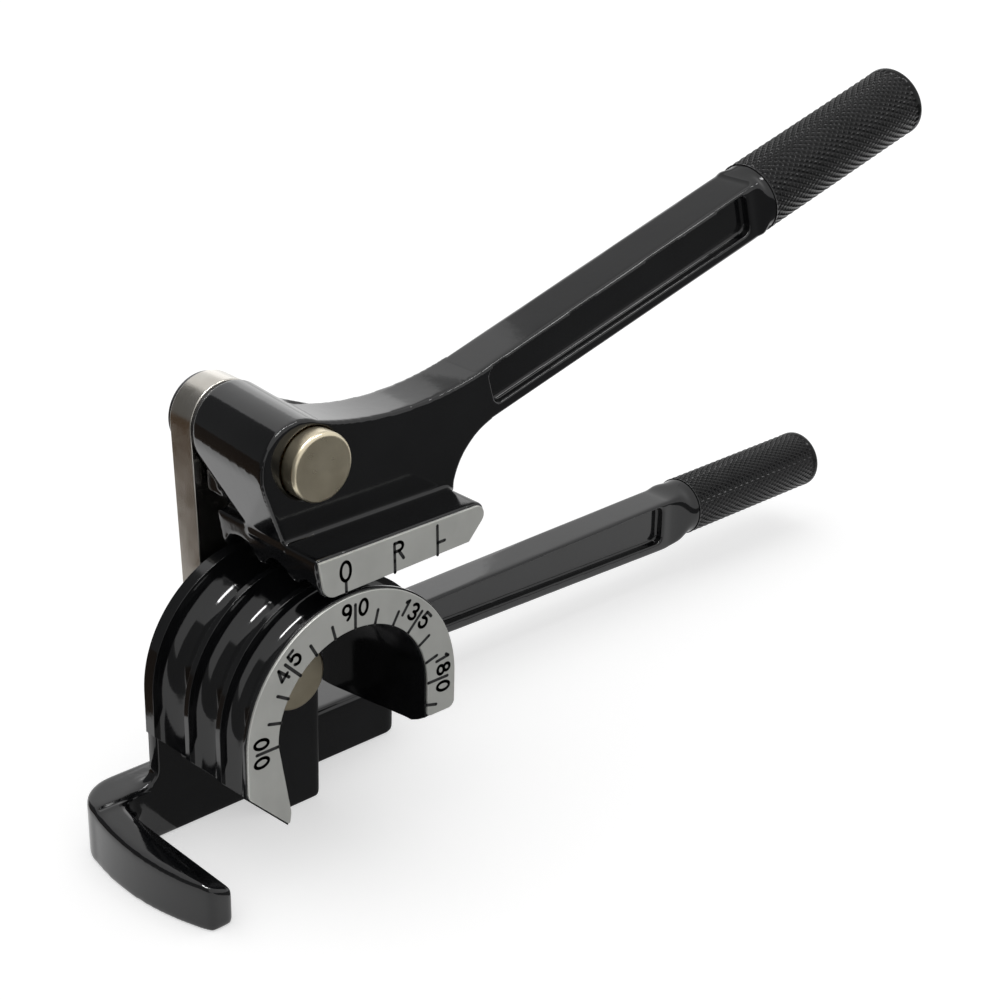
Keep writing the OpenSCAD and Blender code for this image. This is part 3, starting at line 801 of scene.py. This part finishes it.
foot_shells = [web(), rear_wall(), foot_hook(), root_block(), root_ramp()]
finished(
    seamed(cast_skin(foot_shells, FOOT_VOXEL, FOOT_PASSES)), "foot_casting", "root", PAINT,
    ["foot_hook"])
lower = handle(ROOT_END, LOWER_REACH, LOWER_TOP, LOWER_LOW, LOWER_NECK, LOWER_GRIP, LOWER_T)
finished(
    moved(cast_skin([lower], HANDLE_VOXEL, HANDLE_PASSES), LOWER_PLACE), "lower_handle_casting", "root",
    PAINT, ["lower_handle"])


# Lever casting: arm with boss, shoe and upper handle

SHOE_LEFT = -SHOE_BACK - SHOE_LEAN
SHOE_RIGHT = SHOE_FRONT + SHOE_OVER
LEDGE_LEFT = Vector(turned((SHOE_LEFT, SOLE + SHOE_H_LEFT), SHOE_TILT))
LEDGE_RIGHT = Vector(turned((SHOE_RIGHT, SOLE + SHOE_H_RIGHT), SHOE_TILT))


def along_upper(x, z):
    """A point given along and across the upper handle, measured from the die axis."""
    return PIN + Vector(turned((x, z), UPPER_RISE))


def lean_at(y):
    """How far the boss has leaned to the right at a depth."""
    return BOSS_SHIFT * (y - ARM_Y) / (SEAT_Y - ARM_Y)


def arm():
    """Arm with its flank, the front of the boss, a dipped top and the throat under the handle."""
    hub = PIN - Vector((BOSS_SHIFT, 0))
    dip = PIN + Vector((DIP_X, BOSS_R - DIP_DEPTH + DIP_R))
    between = dip - hub
    reach = (BOSS_R ** 2 - DIP_R ** 2 + between.length_squared) / (2 * between.length)
    meet = math.degrees(math.atan2(between.y, between.x) - math.acos(reach / BOSS_R))
    beam_top = along_upper(BEAM_START, UPPER_TOP[0] - UPPER_DROP)
    throat = along_upper(BEAM_START, -UPPER_DROP - UPPER_LOW[0] - THROAT_R)
    outline = [tuple(LEDGE_LEFT)] + arc(hub, BOSS_R, 180, meet, steps=40)
    start = math.degrees(math.atan2(*(Vector(outline[-1]) - dip).yx)) % 360
    end = math.degrees(math.atan2(*(beam_top - dip).yx)) % 360
    outline += arc(dip, DIP_R, start, end, steps=40)[1:]
    wall = 180 - math.degrees(math.asin((LEDGE_RIGHT.y - throat.y) / THROAT_R))
    outline += arc(throat, THROAT_R, 90 + math.degrees(UPPER_RISE), wall, steps=32)
    lap = Vector((0, SHOE_LAP))
    outline += [tuple(Vector(outline[-1]) - lap), tuple(LEDGE_LEFT - lap)]
    solid = across(outline, ARM_Y, ARM_REAR)
    for v in solid.verts:
        if v.co.y > ARM_REAR - NEAR and v.co.z > AXIS_H + LEDGE_LEFT.y + NEAR:
            v.co.x += lean_at(ARM_REAR) * min(1, max(0, (DIP_X - v.co.x) / DIP_X))
    return solid


def ring_across(centre, radius, y, steps):
    return [(x, y, AXIS_H + z) for x, z in arc(centre, radius, 0, 360, steps)[:-1]]


def boss():
    """Boss that leans from the arm's front outline back to the link, with its flank down to the shoe."""
    front = ring_across(PIN - Vector((BOSS_SHIFT, 0)), BOSS_R, ARM_Y, BOSS_STEPS)
    rear = ring_across(PIN, BOSS_R, SEAT_Y, BOSS_STEPS)
    ledge = AXIS_H + LEDGE_LEFT.y
    flank = [(LEDGE_LEFT.x + x, y, ledge) for x in (0, BOSS_R) for y in (ARM_Y, ARM_REAR)]
    return hull_of(front + rear + flank)


def boss_gusset():
    """Gusset behind the arm that blends the boss into its top edge."""
    rear = ARM_REAR + GUSSET_DEPTH
    lean = Vector((BOSS_SHIFT - lean_at(rear), 0))
    foot = PIN + Vector((GUSSET_REACH, BOSS_R - 2 * DIP_DEPTH))
    hub = ring_across(PIN - lean, BOSS_R - GUSSET_INSET, rear, steps=64)
    return hull_of(hub + ring_across(foot, DIP_DEPTH, ARM_REAR - LAP / 2, steps=48))


def stem():
    """Stem behind the arm, from the boss down to the rear of the shoe."""
    side = Vector((BOSS_R, 0))
    drop = Vector((0, CHEEK_DROP - BOSS_SHIFT))
    lap = Vector((0, SHOE_LAP))
    back = Vector((STEM_BACK, 0))
    left = LEDGE_LEFT + back
    right = LEDGE_LEFT + STEM_TO * (LEDGE_RIGHT - LEDGE_LEFT)
    outline = [PIN - side, PIN - side - drop + back, left, left - lap, right - lap, PIN + side]
    solid = across([tuple(p) for p in outline], ARM_REAR - LAP, SHOE_REAR)
    return eased(solid, solid.edges[:], CAST_EDGE)


def cheek():
    """Cheek behind the stem, which covers the link's front below the boss."""
    left, right = PIN.x - BOSS_R + STEM_BACK, PIN.x + BOSS_R
    low = PIN.y - CHEEK_DROP + STEM_BACK / 2
    outline = [(left, PIN.y), (left, low), (right, low), (right, PIN.y)]
    solid = across(outline, SHOE_REAR - LAP, SEAT_Y)
    return eased(solid, solid.edges[:], CAST_EDGE)


def shoe_outline(edge):
    """Side view of the shoe, drawn in by an edge."""
    left, right, low = SHOE_LEFT + edge, SHOE_RIGHT - edge, SOLE + edge
    flank = Vector((SHOE_H_LEFT, SHOE_LEAN)).normalized()
    lead = Vector((left + SHOE_LEAN + SHOE_LEAD * (1 - flank.y) / flank.x, low + SHOE_LEAD))
    lean = math.degrees(math.atan2(flank.y, flank.x))
    outline = [(left, SOLE + SHOE_H_LEFT - edge)] + arc(lead, SHOE_LEAD, 180 + lean, 270, steps=12)
    toe, heel = (right - SHOE_OVER, low), (right, SOLE + SHOE_H_RIGHT - edge)
    outline += [toe] + rounded(toe, heel, outline[0], SHOE_ROUND)
    return [turned(p, SHOE_TILT) for p in outline]


def shoe():
    """Shoe with a rounded run-in at its left and three grooves along its sole."""
    solid = across(shoe_outline(0), PLATE_Y, SHOE_REAR)
    cutters = []
    for y, r in GROOVES:
        lift = Matrix.Translation((0, y, AXIS_H)) @ Matrix.Rotation(-SHOE_TILT, 4, "Y")
        along = Matrix.Translation((0, 0, BEND_R)) @ Matrix.Rotation(math.pi / 2, 4, "Y")
        cutters.append(rod(r, 6 * BEND_R, lift @ along))
    return carved(solid, cutters)


def bored(shell):
    """A shell of the lever with the bush's bore through it."""
    middle = Matrix.Translation((PIN.x, (ARM_Y + SEAT_Y) / 2, AXIS_H + PIN.y))
    bore = rod(BORE_R, 2 * (SEAT_Y - ARM_Y), middle @ Matrix.Rotation(math.pi / 2, 4, "X"))
    return carved(shell, [bore])


lever_shells = [bored(shell) for shell in (arm(), boss(), boss_gusset(), stem(), cheek())]
lever_shells.append(shoe())
finished(
    cast_skin(lever_shells, CAST_VOXEL, CAST_PASSES), "lever_casting", "lever", PAINT,
    ["lever_arm", "bending_shoe"])
upper = handle(BEAM_START - BEAM_LAP, UPPER_REACH, UPPER_TOP, UPPER_LOW, UPPER_NECK, UPPER_GRIP, ARM_T)
finished(
    moved(cast_skin([upper], HANDLE_VOXEL, HANDLE_PASSES), UPPER_PLACE), "upper_handle_casting", "lever",
    PAINT)


# Knurled grips

KNURL_STARTS = 36
KNURL_POINTS = 6
KNURL_PITCH = 2.0
KNURL_ROWS = 8
KNURL_DEPTH = 0.36
KNURL_FADE = 0.6
KNURL_END = 0.6
KNURL_FLAT = 0.85


def saw(x):
    """A triangle wave from 0 at whole numbers to 1 half way between them."""
    return 1 - abs(2 * (x % 1) - 1)


def knurl(x, turn, grip_l):
    """Depth of the crossed cuts under the grip's surface."""
    a = saw(KNURL_STARTS * turn + x / KNURL_PITCH)
    b = saw(KNURL_STARTS * turn - x / KNURL_PITCH)
    fade = min(1, x / KNURL_FADE, max(0, grip_l - GRIP_ROUND - KNURL_END - x) / KNURL_FADE)
    return KNURL_DEPTH * fade * (1 - min(KNURL_FLAT, min(a, b)) / KNURL_FLAT)


def grip(reach, size, place):
    """Grip with a slight flare, a rounded end and a diamond knurl."""
    grip_l, grip_r = size
    segments = KNURL_STARTS * KNURL_POINTS
    step = KNURL_PITCH / KNURL_ROWS
    straight = grip_l - GRIP_ROUND
    rows = [(i * step, grip_r + GRIP_FLARE * i * step / grip_l) for i in range(int(straight / step))]
    end_r = grip_r + GRIP_FLARE
    rows += arc((straight, end_r - GRIP_ROUND), GRIP_ROUND, 90, 0, steps=8)

    def point_of(row, i):
        x, radius = row
        turn = i / segments
        r = radius - knurl(x, turn, grip_l)
        return (reach - grip_l + x, r * math.cos(TURN * turn), r * math.sin(TURN * turn))

    return moved(ringed(rows, segments, point_of), place)


finished(
    grip(LOWER_REACH, LOWER_GRIP, LOWER_PLACE), "lower_grip_knurled", "root", KNURL,
    ["lower_grip"])
finished(
    grip(UPPER_REACH, UPPER_GRIP, UPPER_PLACE), "upper_grip_knurled", "lever", KNURL,
    ["upper_grip"])


# Link: the solid with its edges broken

LINK_EDGE = 0.6
WELD = 0.002
FLAT = math.radians(0.5)


def solid_of(node):
    """A copy of a CAD node's shape in millimetres, with its flat faces whole."""
    bm = bmesh.new()
    bm.from_mesh(frame["nodes"][node].data)
    bmesh.ops.scale(bm, vec=(1 / MM,) * 3, verts=bm.verts)
    bmesh.ops.remove_doubles(bm, verts=bm.verts, dist=WELD)
    bmesh.ops.dissolve_limit(
        bm, angle_limit=FLAT, use_dissolve_boundaries=False, verts=bm.verts, edges=bm.edges)
    return bm


def rounded_link():
    """The link with its sharp edges rounded over."""
    bm = solid_of("link_bar")
    return bevelled(bm, sharp_edges(bm, LINK_SHARP), LINK_EDGE, segments=3)


finished(rounded_link(), "link_bar_rounded", "link", ZINC, ["link_bar"], even=True)


# Graduated faces

SCALE_EDGE = 0.3
PLATE_CORNER = 0.8
PLATE_LIP = 0.12


def lipped(bm):
    """A plate with its front outline broken by a fine lip."""
    rim = [e for e in sharp_edges(bm, PLATE_SHARP) if all(v.co.y < FRONT_Y + NEAR for v in e.verts)]
    return bevelled(bm, rim, PLATE_LIP, segments=2)


def die_plate():
    """The die's plate with its corners rounded."""
    bm = solid_of("die_scale")
    through = [e for e in sharp_edges(bm, CORNER_SHARP) if abs(e.verts[0].co.y - e.verts[1].co.y) > NEAR]
    return lipped(bevelled(bm, through, PLATE_CORNER, segments=5))


def shoe_plate():
    """The shoe's plate, drawn in a little from the casting's outline."""
    return lipped(across(shoe_outline(SCALE_EDGE), FRONT_Y, PLATE_Y))


finished(die_plate(), "die_face_plate", "root", SATIN, ["die_scale"], even=True)
finished(shoe_plate(), "shoe_face_plate", "lever", SATIN, ["shoe_scale"], even=True)

MARK_T = 0.06
MARK_RISE = 0.02
STROKE = 0.62


def stroke(bm, start, end):
    """A straight engraved line with round ends between two points in X and Z."""
    a, b = Vector(start), Vector(end)
    along = b - a
    depth = FRONT_Y - MARK_RISE + MARK_T / 2
    place = (Matrix.Translation(((a.x + b.x) / 2, depth, AXIS_H + (a.y + b.y) / 2))
             @ Matrix.Rotation(-math.atan2(along.y, along.x), 4, "Y")
             @ Matrix.Diagonal((along.length, MARK_T, STROKE, 1)))
    bmesh.ops.create_cube(bm, size=1, matrix=place)
    upright_disc = Matrix.Rotation(math.pi / 2, 4, "X")
    for point in (a, b):
        place = Matrix.Translation((point.x, depth, AXIS_H + point.y)) @ upright_disc
        bmesh.ops.create_cone(
            bm, cap_ends=True, segments=12, radius1=STROKE / 2, radius2=STROKE / 2, depth=MARK_T,
            matrix=place)


def oval(centre, half_w, half_h, start, end, steps=16):
    """Points on part of an ellipse, in degrees."""
    return [(centre[0] + half_w * x, centre[1] + half_h * z) for x, z in arc((0, 0), 1, start, end, steps)]


# Strokes of the stamped figures, in a box half a unit to each side and one unit high
GLYPHS = {
    "0": [oval((0, 0.5), 0.3, 0.5, 0, 360, 24)],
    "1": [[(-0.12, 0.82), (0.06, 1), (0.06, 0)]],
    "3": [oval((0, 0.75), 0.27, 0.25, 150, -90) + oval((0, 0.25), 0.3, 0.25, 90, -150)],
    "4": [[(0.14, 0), (0.14, 1), (-0.32, 0.3), (0.32, 0.3)]],
    "5": [[(0.26, 1), (-0.22, 1), (-0.26, 0.56)] + oval((0, 0.33), 0.3, 0.33, 130, -150)],
    "8": [oval((0, 0.76), 0.25, 0.24, 0, 360), oval((0, 0.26), 0.31, 0.26, 0, 360)],
    "9": [oval((0, 0.7), 0.29, 0.3, 0, 360), oval((-0.11, 0.7), 0.4, 0.7, 0, -75)],
    "R": [[(-0.28, 0), (-0.28, 1), (0, 1)] + oval((0, 0.76), 0.28, 0.24, 90, -90) + [(-0.28, 0.52)],
          [(0, 0.52), (0.32, 0)]]}
ADVANCE = 0.82


def figure(bm, text, height, centre, angle):
    """Stamped figures on the front, centred on a point in X and Z and turned by an angle."""
    for number, letter in enumerate(text):
        aside = ADVANCE * (number - (len(text) - 1) / 2)
        for line in GLYPHS[letter]:
            points = [turned(((x + aside) * height, (z - 0.5) * height), angle) for x, z in line]
            places = [(centre[0] + x, centre[1] + z) for x, z in points]
            for start, end in zip(places, places[1:]):
                stroke(bm, start, end)


TICK_STEP = 15
TICK_LAST = 195
LONG_TICK = 5.0
SHORT_TICK = 3.0
TICK_GAP = 0.35
FIGURE_H = 2.9
FIGURE_R = 20.9
FIGURE_GAP = 0.65
FIGURES = {0: ("0", "0"), 45: ("4", "5"), 90: ("9", "0"), 135: ("13", "5"), 180: ("18", "0")}


def on_die(radius, degrees):
    """A point on the die's face, at degrees counted clockwise from the left."""
    a = math.radians(180 - degrees)
    return (radius * math.cos(a), radius * math.sin(a))


def die_marks():
    """Degree lines with a split number at every third one."""
    bm = bmesh.new()
    for degrees in range(0, TICK_LAST + 1, TICK_STEP):
        length = LONG_TICK if degrees in FIGURES else SHORT_TICK
        stroke(bm, on_die(ARCH_R + TICK_GAP, degrees), on_die(ARCH_R + length, degrees))
    for degrees, (before, after) in FIGURES.items():
        for text, side in ((before, -1), (after, 1)):
            aside = side * (FIGURE_GAP + ADVANCE * FIGURE_H * len(text) / 2)
            at = degrees + math.degrees(aside / FIGURE_R)
            figure(bm, text, FIGURE_H, on_die(FIGURE_R, at), math.radians(90 - at))
    return bm


# Marks of the shoe, along its sole and above it: figures with their height and place, and lines
SHOE_FIGURES = (("0", 3.6, (-1.1, 4.4)), ("R", 3.4, (10.85, 4.2)))
SHOE_LINES = (
    ((-1.1, 0.3), (-1.1, 2.6)), ((9.9, 0.3), (9.9, 2.6)),
    ((19.9, 0.3), (19.9, 6.1)), ((19.9, 2.7), (21.6, 2.7)))


def on_shoe(x, above):
    """A point on the shoe's face, along the sole and above it."""
    return turned((x, SOLE + above), SHOE_TILT)


def shoe_marks():
    """The three bending marks: a zero, an R and a bar, each on a line down to the sole."""
    bm = bmesh.new()
    for letter, height, place in SHOE_FIGURES:
        figure(bm, letter, height, on_shoe(*place), SHOE_TILT)
    for start, end in SHOE_LINES:
        stroke(bm, on_shoe(*start), on_shoe(*end))
    return bm


finished(die_marks(), "die_degree_marks", "root", FILL)
finished(shoe_marks(), "shoe_bend_marks", "lever", FILL)


# CAD nodes that show as they are

def dress(material, *nodes):
    for node in nodes:
        data = frame["nodes"][node].data
        data.materials.clear()
        data.materials.append(material)


dress(NICKEL, "lower_pin", "upper_pin")
dress(BRONZE, "lower_bush", "upper_bush")
dress(STEEL, "lower_washer", "lower_rear_washer", "lower_clip")
dress(STEEL, "upper_washer", "upper_rear_washer", "upper_clip")


# Studio

def white_for_view(tree):
    """1 for camera, glossy and transmission rays."""
    path = tree.nodes.new("ShaderNodeLightPath")
    seen = path.outputs["Is Camera Ray"]
    for ray in ("Is Glossy Ray", "Is Transmission Ray"):
        either = tree.nodes.new("ShaderNodeMath")
        either.operation = "MAXIMUM"
        tree.links.new(seen, either.inputs[0])
        tree.links.new(path.outputs[ray], either.inputs[1])
        seen = either.outputs[0]
    return seen


FLOOR_HALF = 6.0
FLOOR_TONE = 0.72
# Strength of the floor's glow near and far, as distance and strength
FLOOR_NEAR = (0.5, 0.5)
FLOOR_FAR = (2.0, 0.62)


def floor_glow(tree):
    """Glow of the floor, which makes up for the lamp's fall-off further out."""
    place = tree.nodes.new("ShaderNodeTexCoord").outputs["Object"]
    away = tree.nodes.new("ShaderNodeVectorMath")
    away.operation = "LENGTH"
    tree.links.new(place, away.inputs[0])
    glow = tree.nodes.new("ShaderNodeMapRange")
    glow.inputs["From Min"].default_value, glow.inputs["To Min"].default_value = FLOOR_NEAR
    glow.inputs["From Max"].default_value, glow.inputs["To Max"].default_value = FLOOR_FAR
    tree.links.new(away.outputs["Value"], glow.inputs["Value"])
    seen = tree.nodes.new("ShaderNodeMath")
    seen.operation = "MULTIPLY"
    tree.links.new(glow.outputs["Result"], seen.inputs[0])
    tree.links.new(white_for_view(tree), seen.inputs[1])
    return seen.outputs[0]


def floor():
    """Plain pale floor without gloss."""
    bm = bmesh.new()
    bmesh.ops.create_grid(bm, x_segments=1, y_segments=1, size=FLOOR_HALF)
    obj = scratch_object(bm, "floor")
    material = bpy.data.materials.new("pale_floor")
    material.use_nodes = True
    tree = material.node_tree
    shader = tree.nodes["Principled BSDF"]
    shader.inputs["Base Color"].default_value = (FLOOR_TONE, FLOOR_TONE, FLOOR_TONE, 1)
    shader.inputs["Roughness"].default_value = 0.9
    shader.inputs["Specular IOR Level"].default_value = 0
    shader.inputs["Emission Color"].default_value = (1, 1, 1, 1)
    tree.links.new(floor_glow(tree), shader.inputs["Emission Strength"])
    obj.data.materials.append(material)


# Height of the floor's cards, and the point of the tool that cards and lamp face, in metres
CARD_LIFT = 0.0003
AIM = Vector((0.03, -0.015, 0.05))


def card(name, corners, level, color=(1, 1, 1)):
    """A card of one tone that is seen only in reflections, from its corners in metres."""
    bm = bmesh.new()
    bm.faces.new([bm.verts.new(c) for c in corners])
    obj = scratch_object(bm, name)
    material = bpy.data.materials.new(name)
    material.use_nodes = True
    tree = material.node_tree
    tree.nodes.remove(tree.nodes["Principled BSDF"])
    glow = tree.nodes.new("ShaderNodeEmission")
    glow.inputs["Color"].default_value = (*color, 1)
    glow.inputs["Strength"].default_value = level
    tree.links.new(glow.outputs["Emission"], tree.nodes["Material Output"].inputs["Surface"])
    obj.data.materials.append(material)
    for ray in ("camera", "diffuse", "transmission", "shadow", "volume_scatter"):
        setattr(obj, f"visible_{ray}", False)


def floor_card(name, outline, level, color=(1, 1, 1)):
    card(name, [(x, y, CARD_LIFT) for x, y in outline], level, color)


def standing(start, end, low, top):
    """Corners of an upright card over a line between two points of the floor."""
    return [(*start, low), (*end, low), (*end, top), (*start, top)]


def facing(distance, away, size):
    """Corners of a level-topped card in a direction from the tool, turned to face it."""
    away = Vector(away).normalized()
    side = away.cross((0, 0, 1)).normalized()
    up = side.cross(away)
    middle = AIM + distance * away
    half_w, half_h = size[0] / 2, size[1] / 2
    signs = ((-1, -1), (1, -1), (1, 1), (-1, 1))
    return [middle + sx * half_w * side + sz * half_h * up for sx, sz in signs]


def world(ambient):
    """White surroundings, which light the scene with a weaker, even light."""
    made = bpy.data.worlds.new("studio")
    made.use_nodes = True
    tree = made.node_tree
    glow = tree.nodes["Background"]
    glow.inputs["Color"].default_value = (1, 1, 1, 1)
    strength = tree.nodes.new("ShaderNodeMath")
    strength.operation = "MAXIMUM"
    strength.inputs[1].default_value = ambient
    tree.links.new(white_for_view(tree), strength.inputs[0])
    tree.links.new(strength.outputs[0], glow.inputs["Strength"])
    bpy.context.scene.world = made


def softbox(name, direction, distance, size, energy):
    """A lamp that lights the scene and isn't mirrored."""
    lamp = bpy.data.lights.new(name, "AREA")
    lamp.shape = "RECTANGLE"
    lamp.size, lamp.size_y = size
    lamp.energy = energy
    obj = bpy.data.objects.new(name, lamp)
    away = Vector(direction).normalized()
    obj.location = AIM + distance * away
    obj.rotation_mode = "QUATERNION"
    obj.rotation_quaternion = away.to_track_quat("Z", "Y")
    obj.visible_glossy = False
    bpy.context.scene.collection.objects.link(obj)


# View of the photograph, solved from its straight edges, in metres
CAMERA_AT = (-0.1954, -0.2736, 0.2098)
CAMERA_BACK = (-0.6319, -0.6598, 0.4069)
CAMERA_UP = (0.2606, 0.3137, 0.9133)
LENS_MM = 71.64
SENSOR_MM = 36


def camera():
    """Camera at the photograph's view."""
    back = Vector(CAMERA_BACK).normalized()
    right = Vector(CAMERA_UP).cross(back).normalized()
    up = back.cross(right)
    lens = bpy.data.cameras.new("camera")
    lens.sensor_width = SENSOR_MM
    lens.lens = LENS_MM
    lens.clip_start = 0.01
    obj = bpy.data.objects.new("camera", lens)
    turn = Matrix((right, up, back)).transposed().to_4x4()
    obj.matrix_world = Matrix.Translation(CAMERA_AT) @ turn
    bpy.context.scene.collection.objects.link(obj)
    bpy.context.scene.camera = obj


# Outlines of the cards, in metres
# Dark sheet on the floor in front, seen only in reflections: a dark surround for the front faces, and
# under the die painted shade of the floor where the tool shades it
FRONT_CARD = [
    (-0.02, -2), (2, -2), (2, -0.9), (0.16, -0.045), (0.055, -0.03), (0.045, 0.003), (-0.02, 0.003)]
# Dark sheet on the floor behind the die, seen only in reflections: painted shade of the floor where it
# lies in the tool's shadow
FLOOR_SHADE_CARD = [(-0.03, 0.012), (0.03, 0.012), (0.03, 0.045), (-0.03, 0.045)]
REAR_CARD = [(-0.036, 0.045), (-0.066, 0.115), (-0.2, 1.2), (-1.2, 1.2), (-1.2, 0.03), (-0.05, 0.03)]
SIDE_CARD = [(-0.07, 0.02), (-1.2, 0.02), (-1.2, -1), (-0.07, -1)]
HANDLE_CARD = [(0.114, 0.087, 0.258), (0.242, 0.087, 0.294), (0.258, 0.139, 0.236), (0.13, 0.139, 0.2)]
WALL_TOP = 1.05
CARD_AWAY = 0.9
WARM = (1, 0.68, 0.44)

floor()
# Dark surround in front, with painted floor shade under the die, seen only in reflections
floor_card("front_card", FRONT_CARD, level=0.16)
# Painted floor shade behind the die, seen only in reflections
floor_card("painted_floor_shade_card", FLOOR_SHADE_CARD, level=0.1)
floor_card("rear_card", REAR_CARD, level=0.085, color=WARM)
floor_card("side_card", SIDE_CARD, level=0.2)
card("rear_wall", standing((-1.2, 0.3), (-0.1, 1.2), 0, WALL_TOP), level=0.15)
card("side_wall", standing((-1.2, -1), (-1.2, 0.3), 0, WALL_TOP), level=0.2)
card("arm_card", standing((0.17, 0.33), (0.275, 0.23), 0.1, 0.24), level=1.6)
card("handle_card", HANDLE_CARD, level=0.5)
card("key", facing(CARD_AWAY, (-0.25, -0.01, 0.95), (0.13, 0.42)), level=34)
card("front_top", facing(CARD_AWAY, (0.3, -0.33, 0.84), (0.3, 0.1)), level=14)
world(ambient=0.6)
softbox("overhead", (-0.1, 0.1, 1), distance=1.2, size=(2.4, 2.4), energy=7)
camera()
bpy.context.scene.view_settings.view_transform = "Standard"
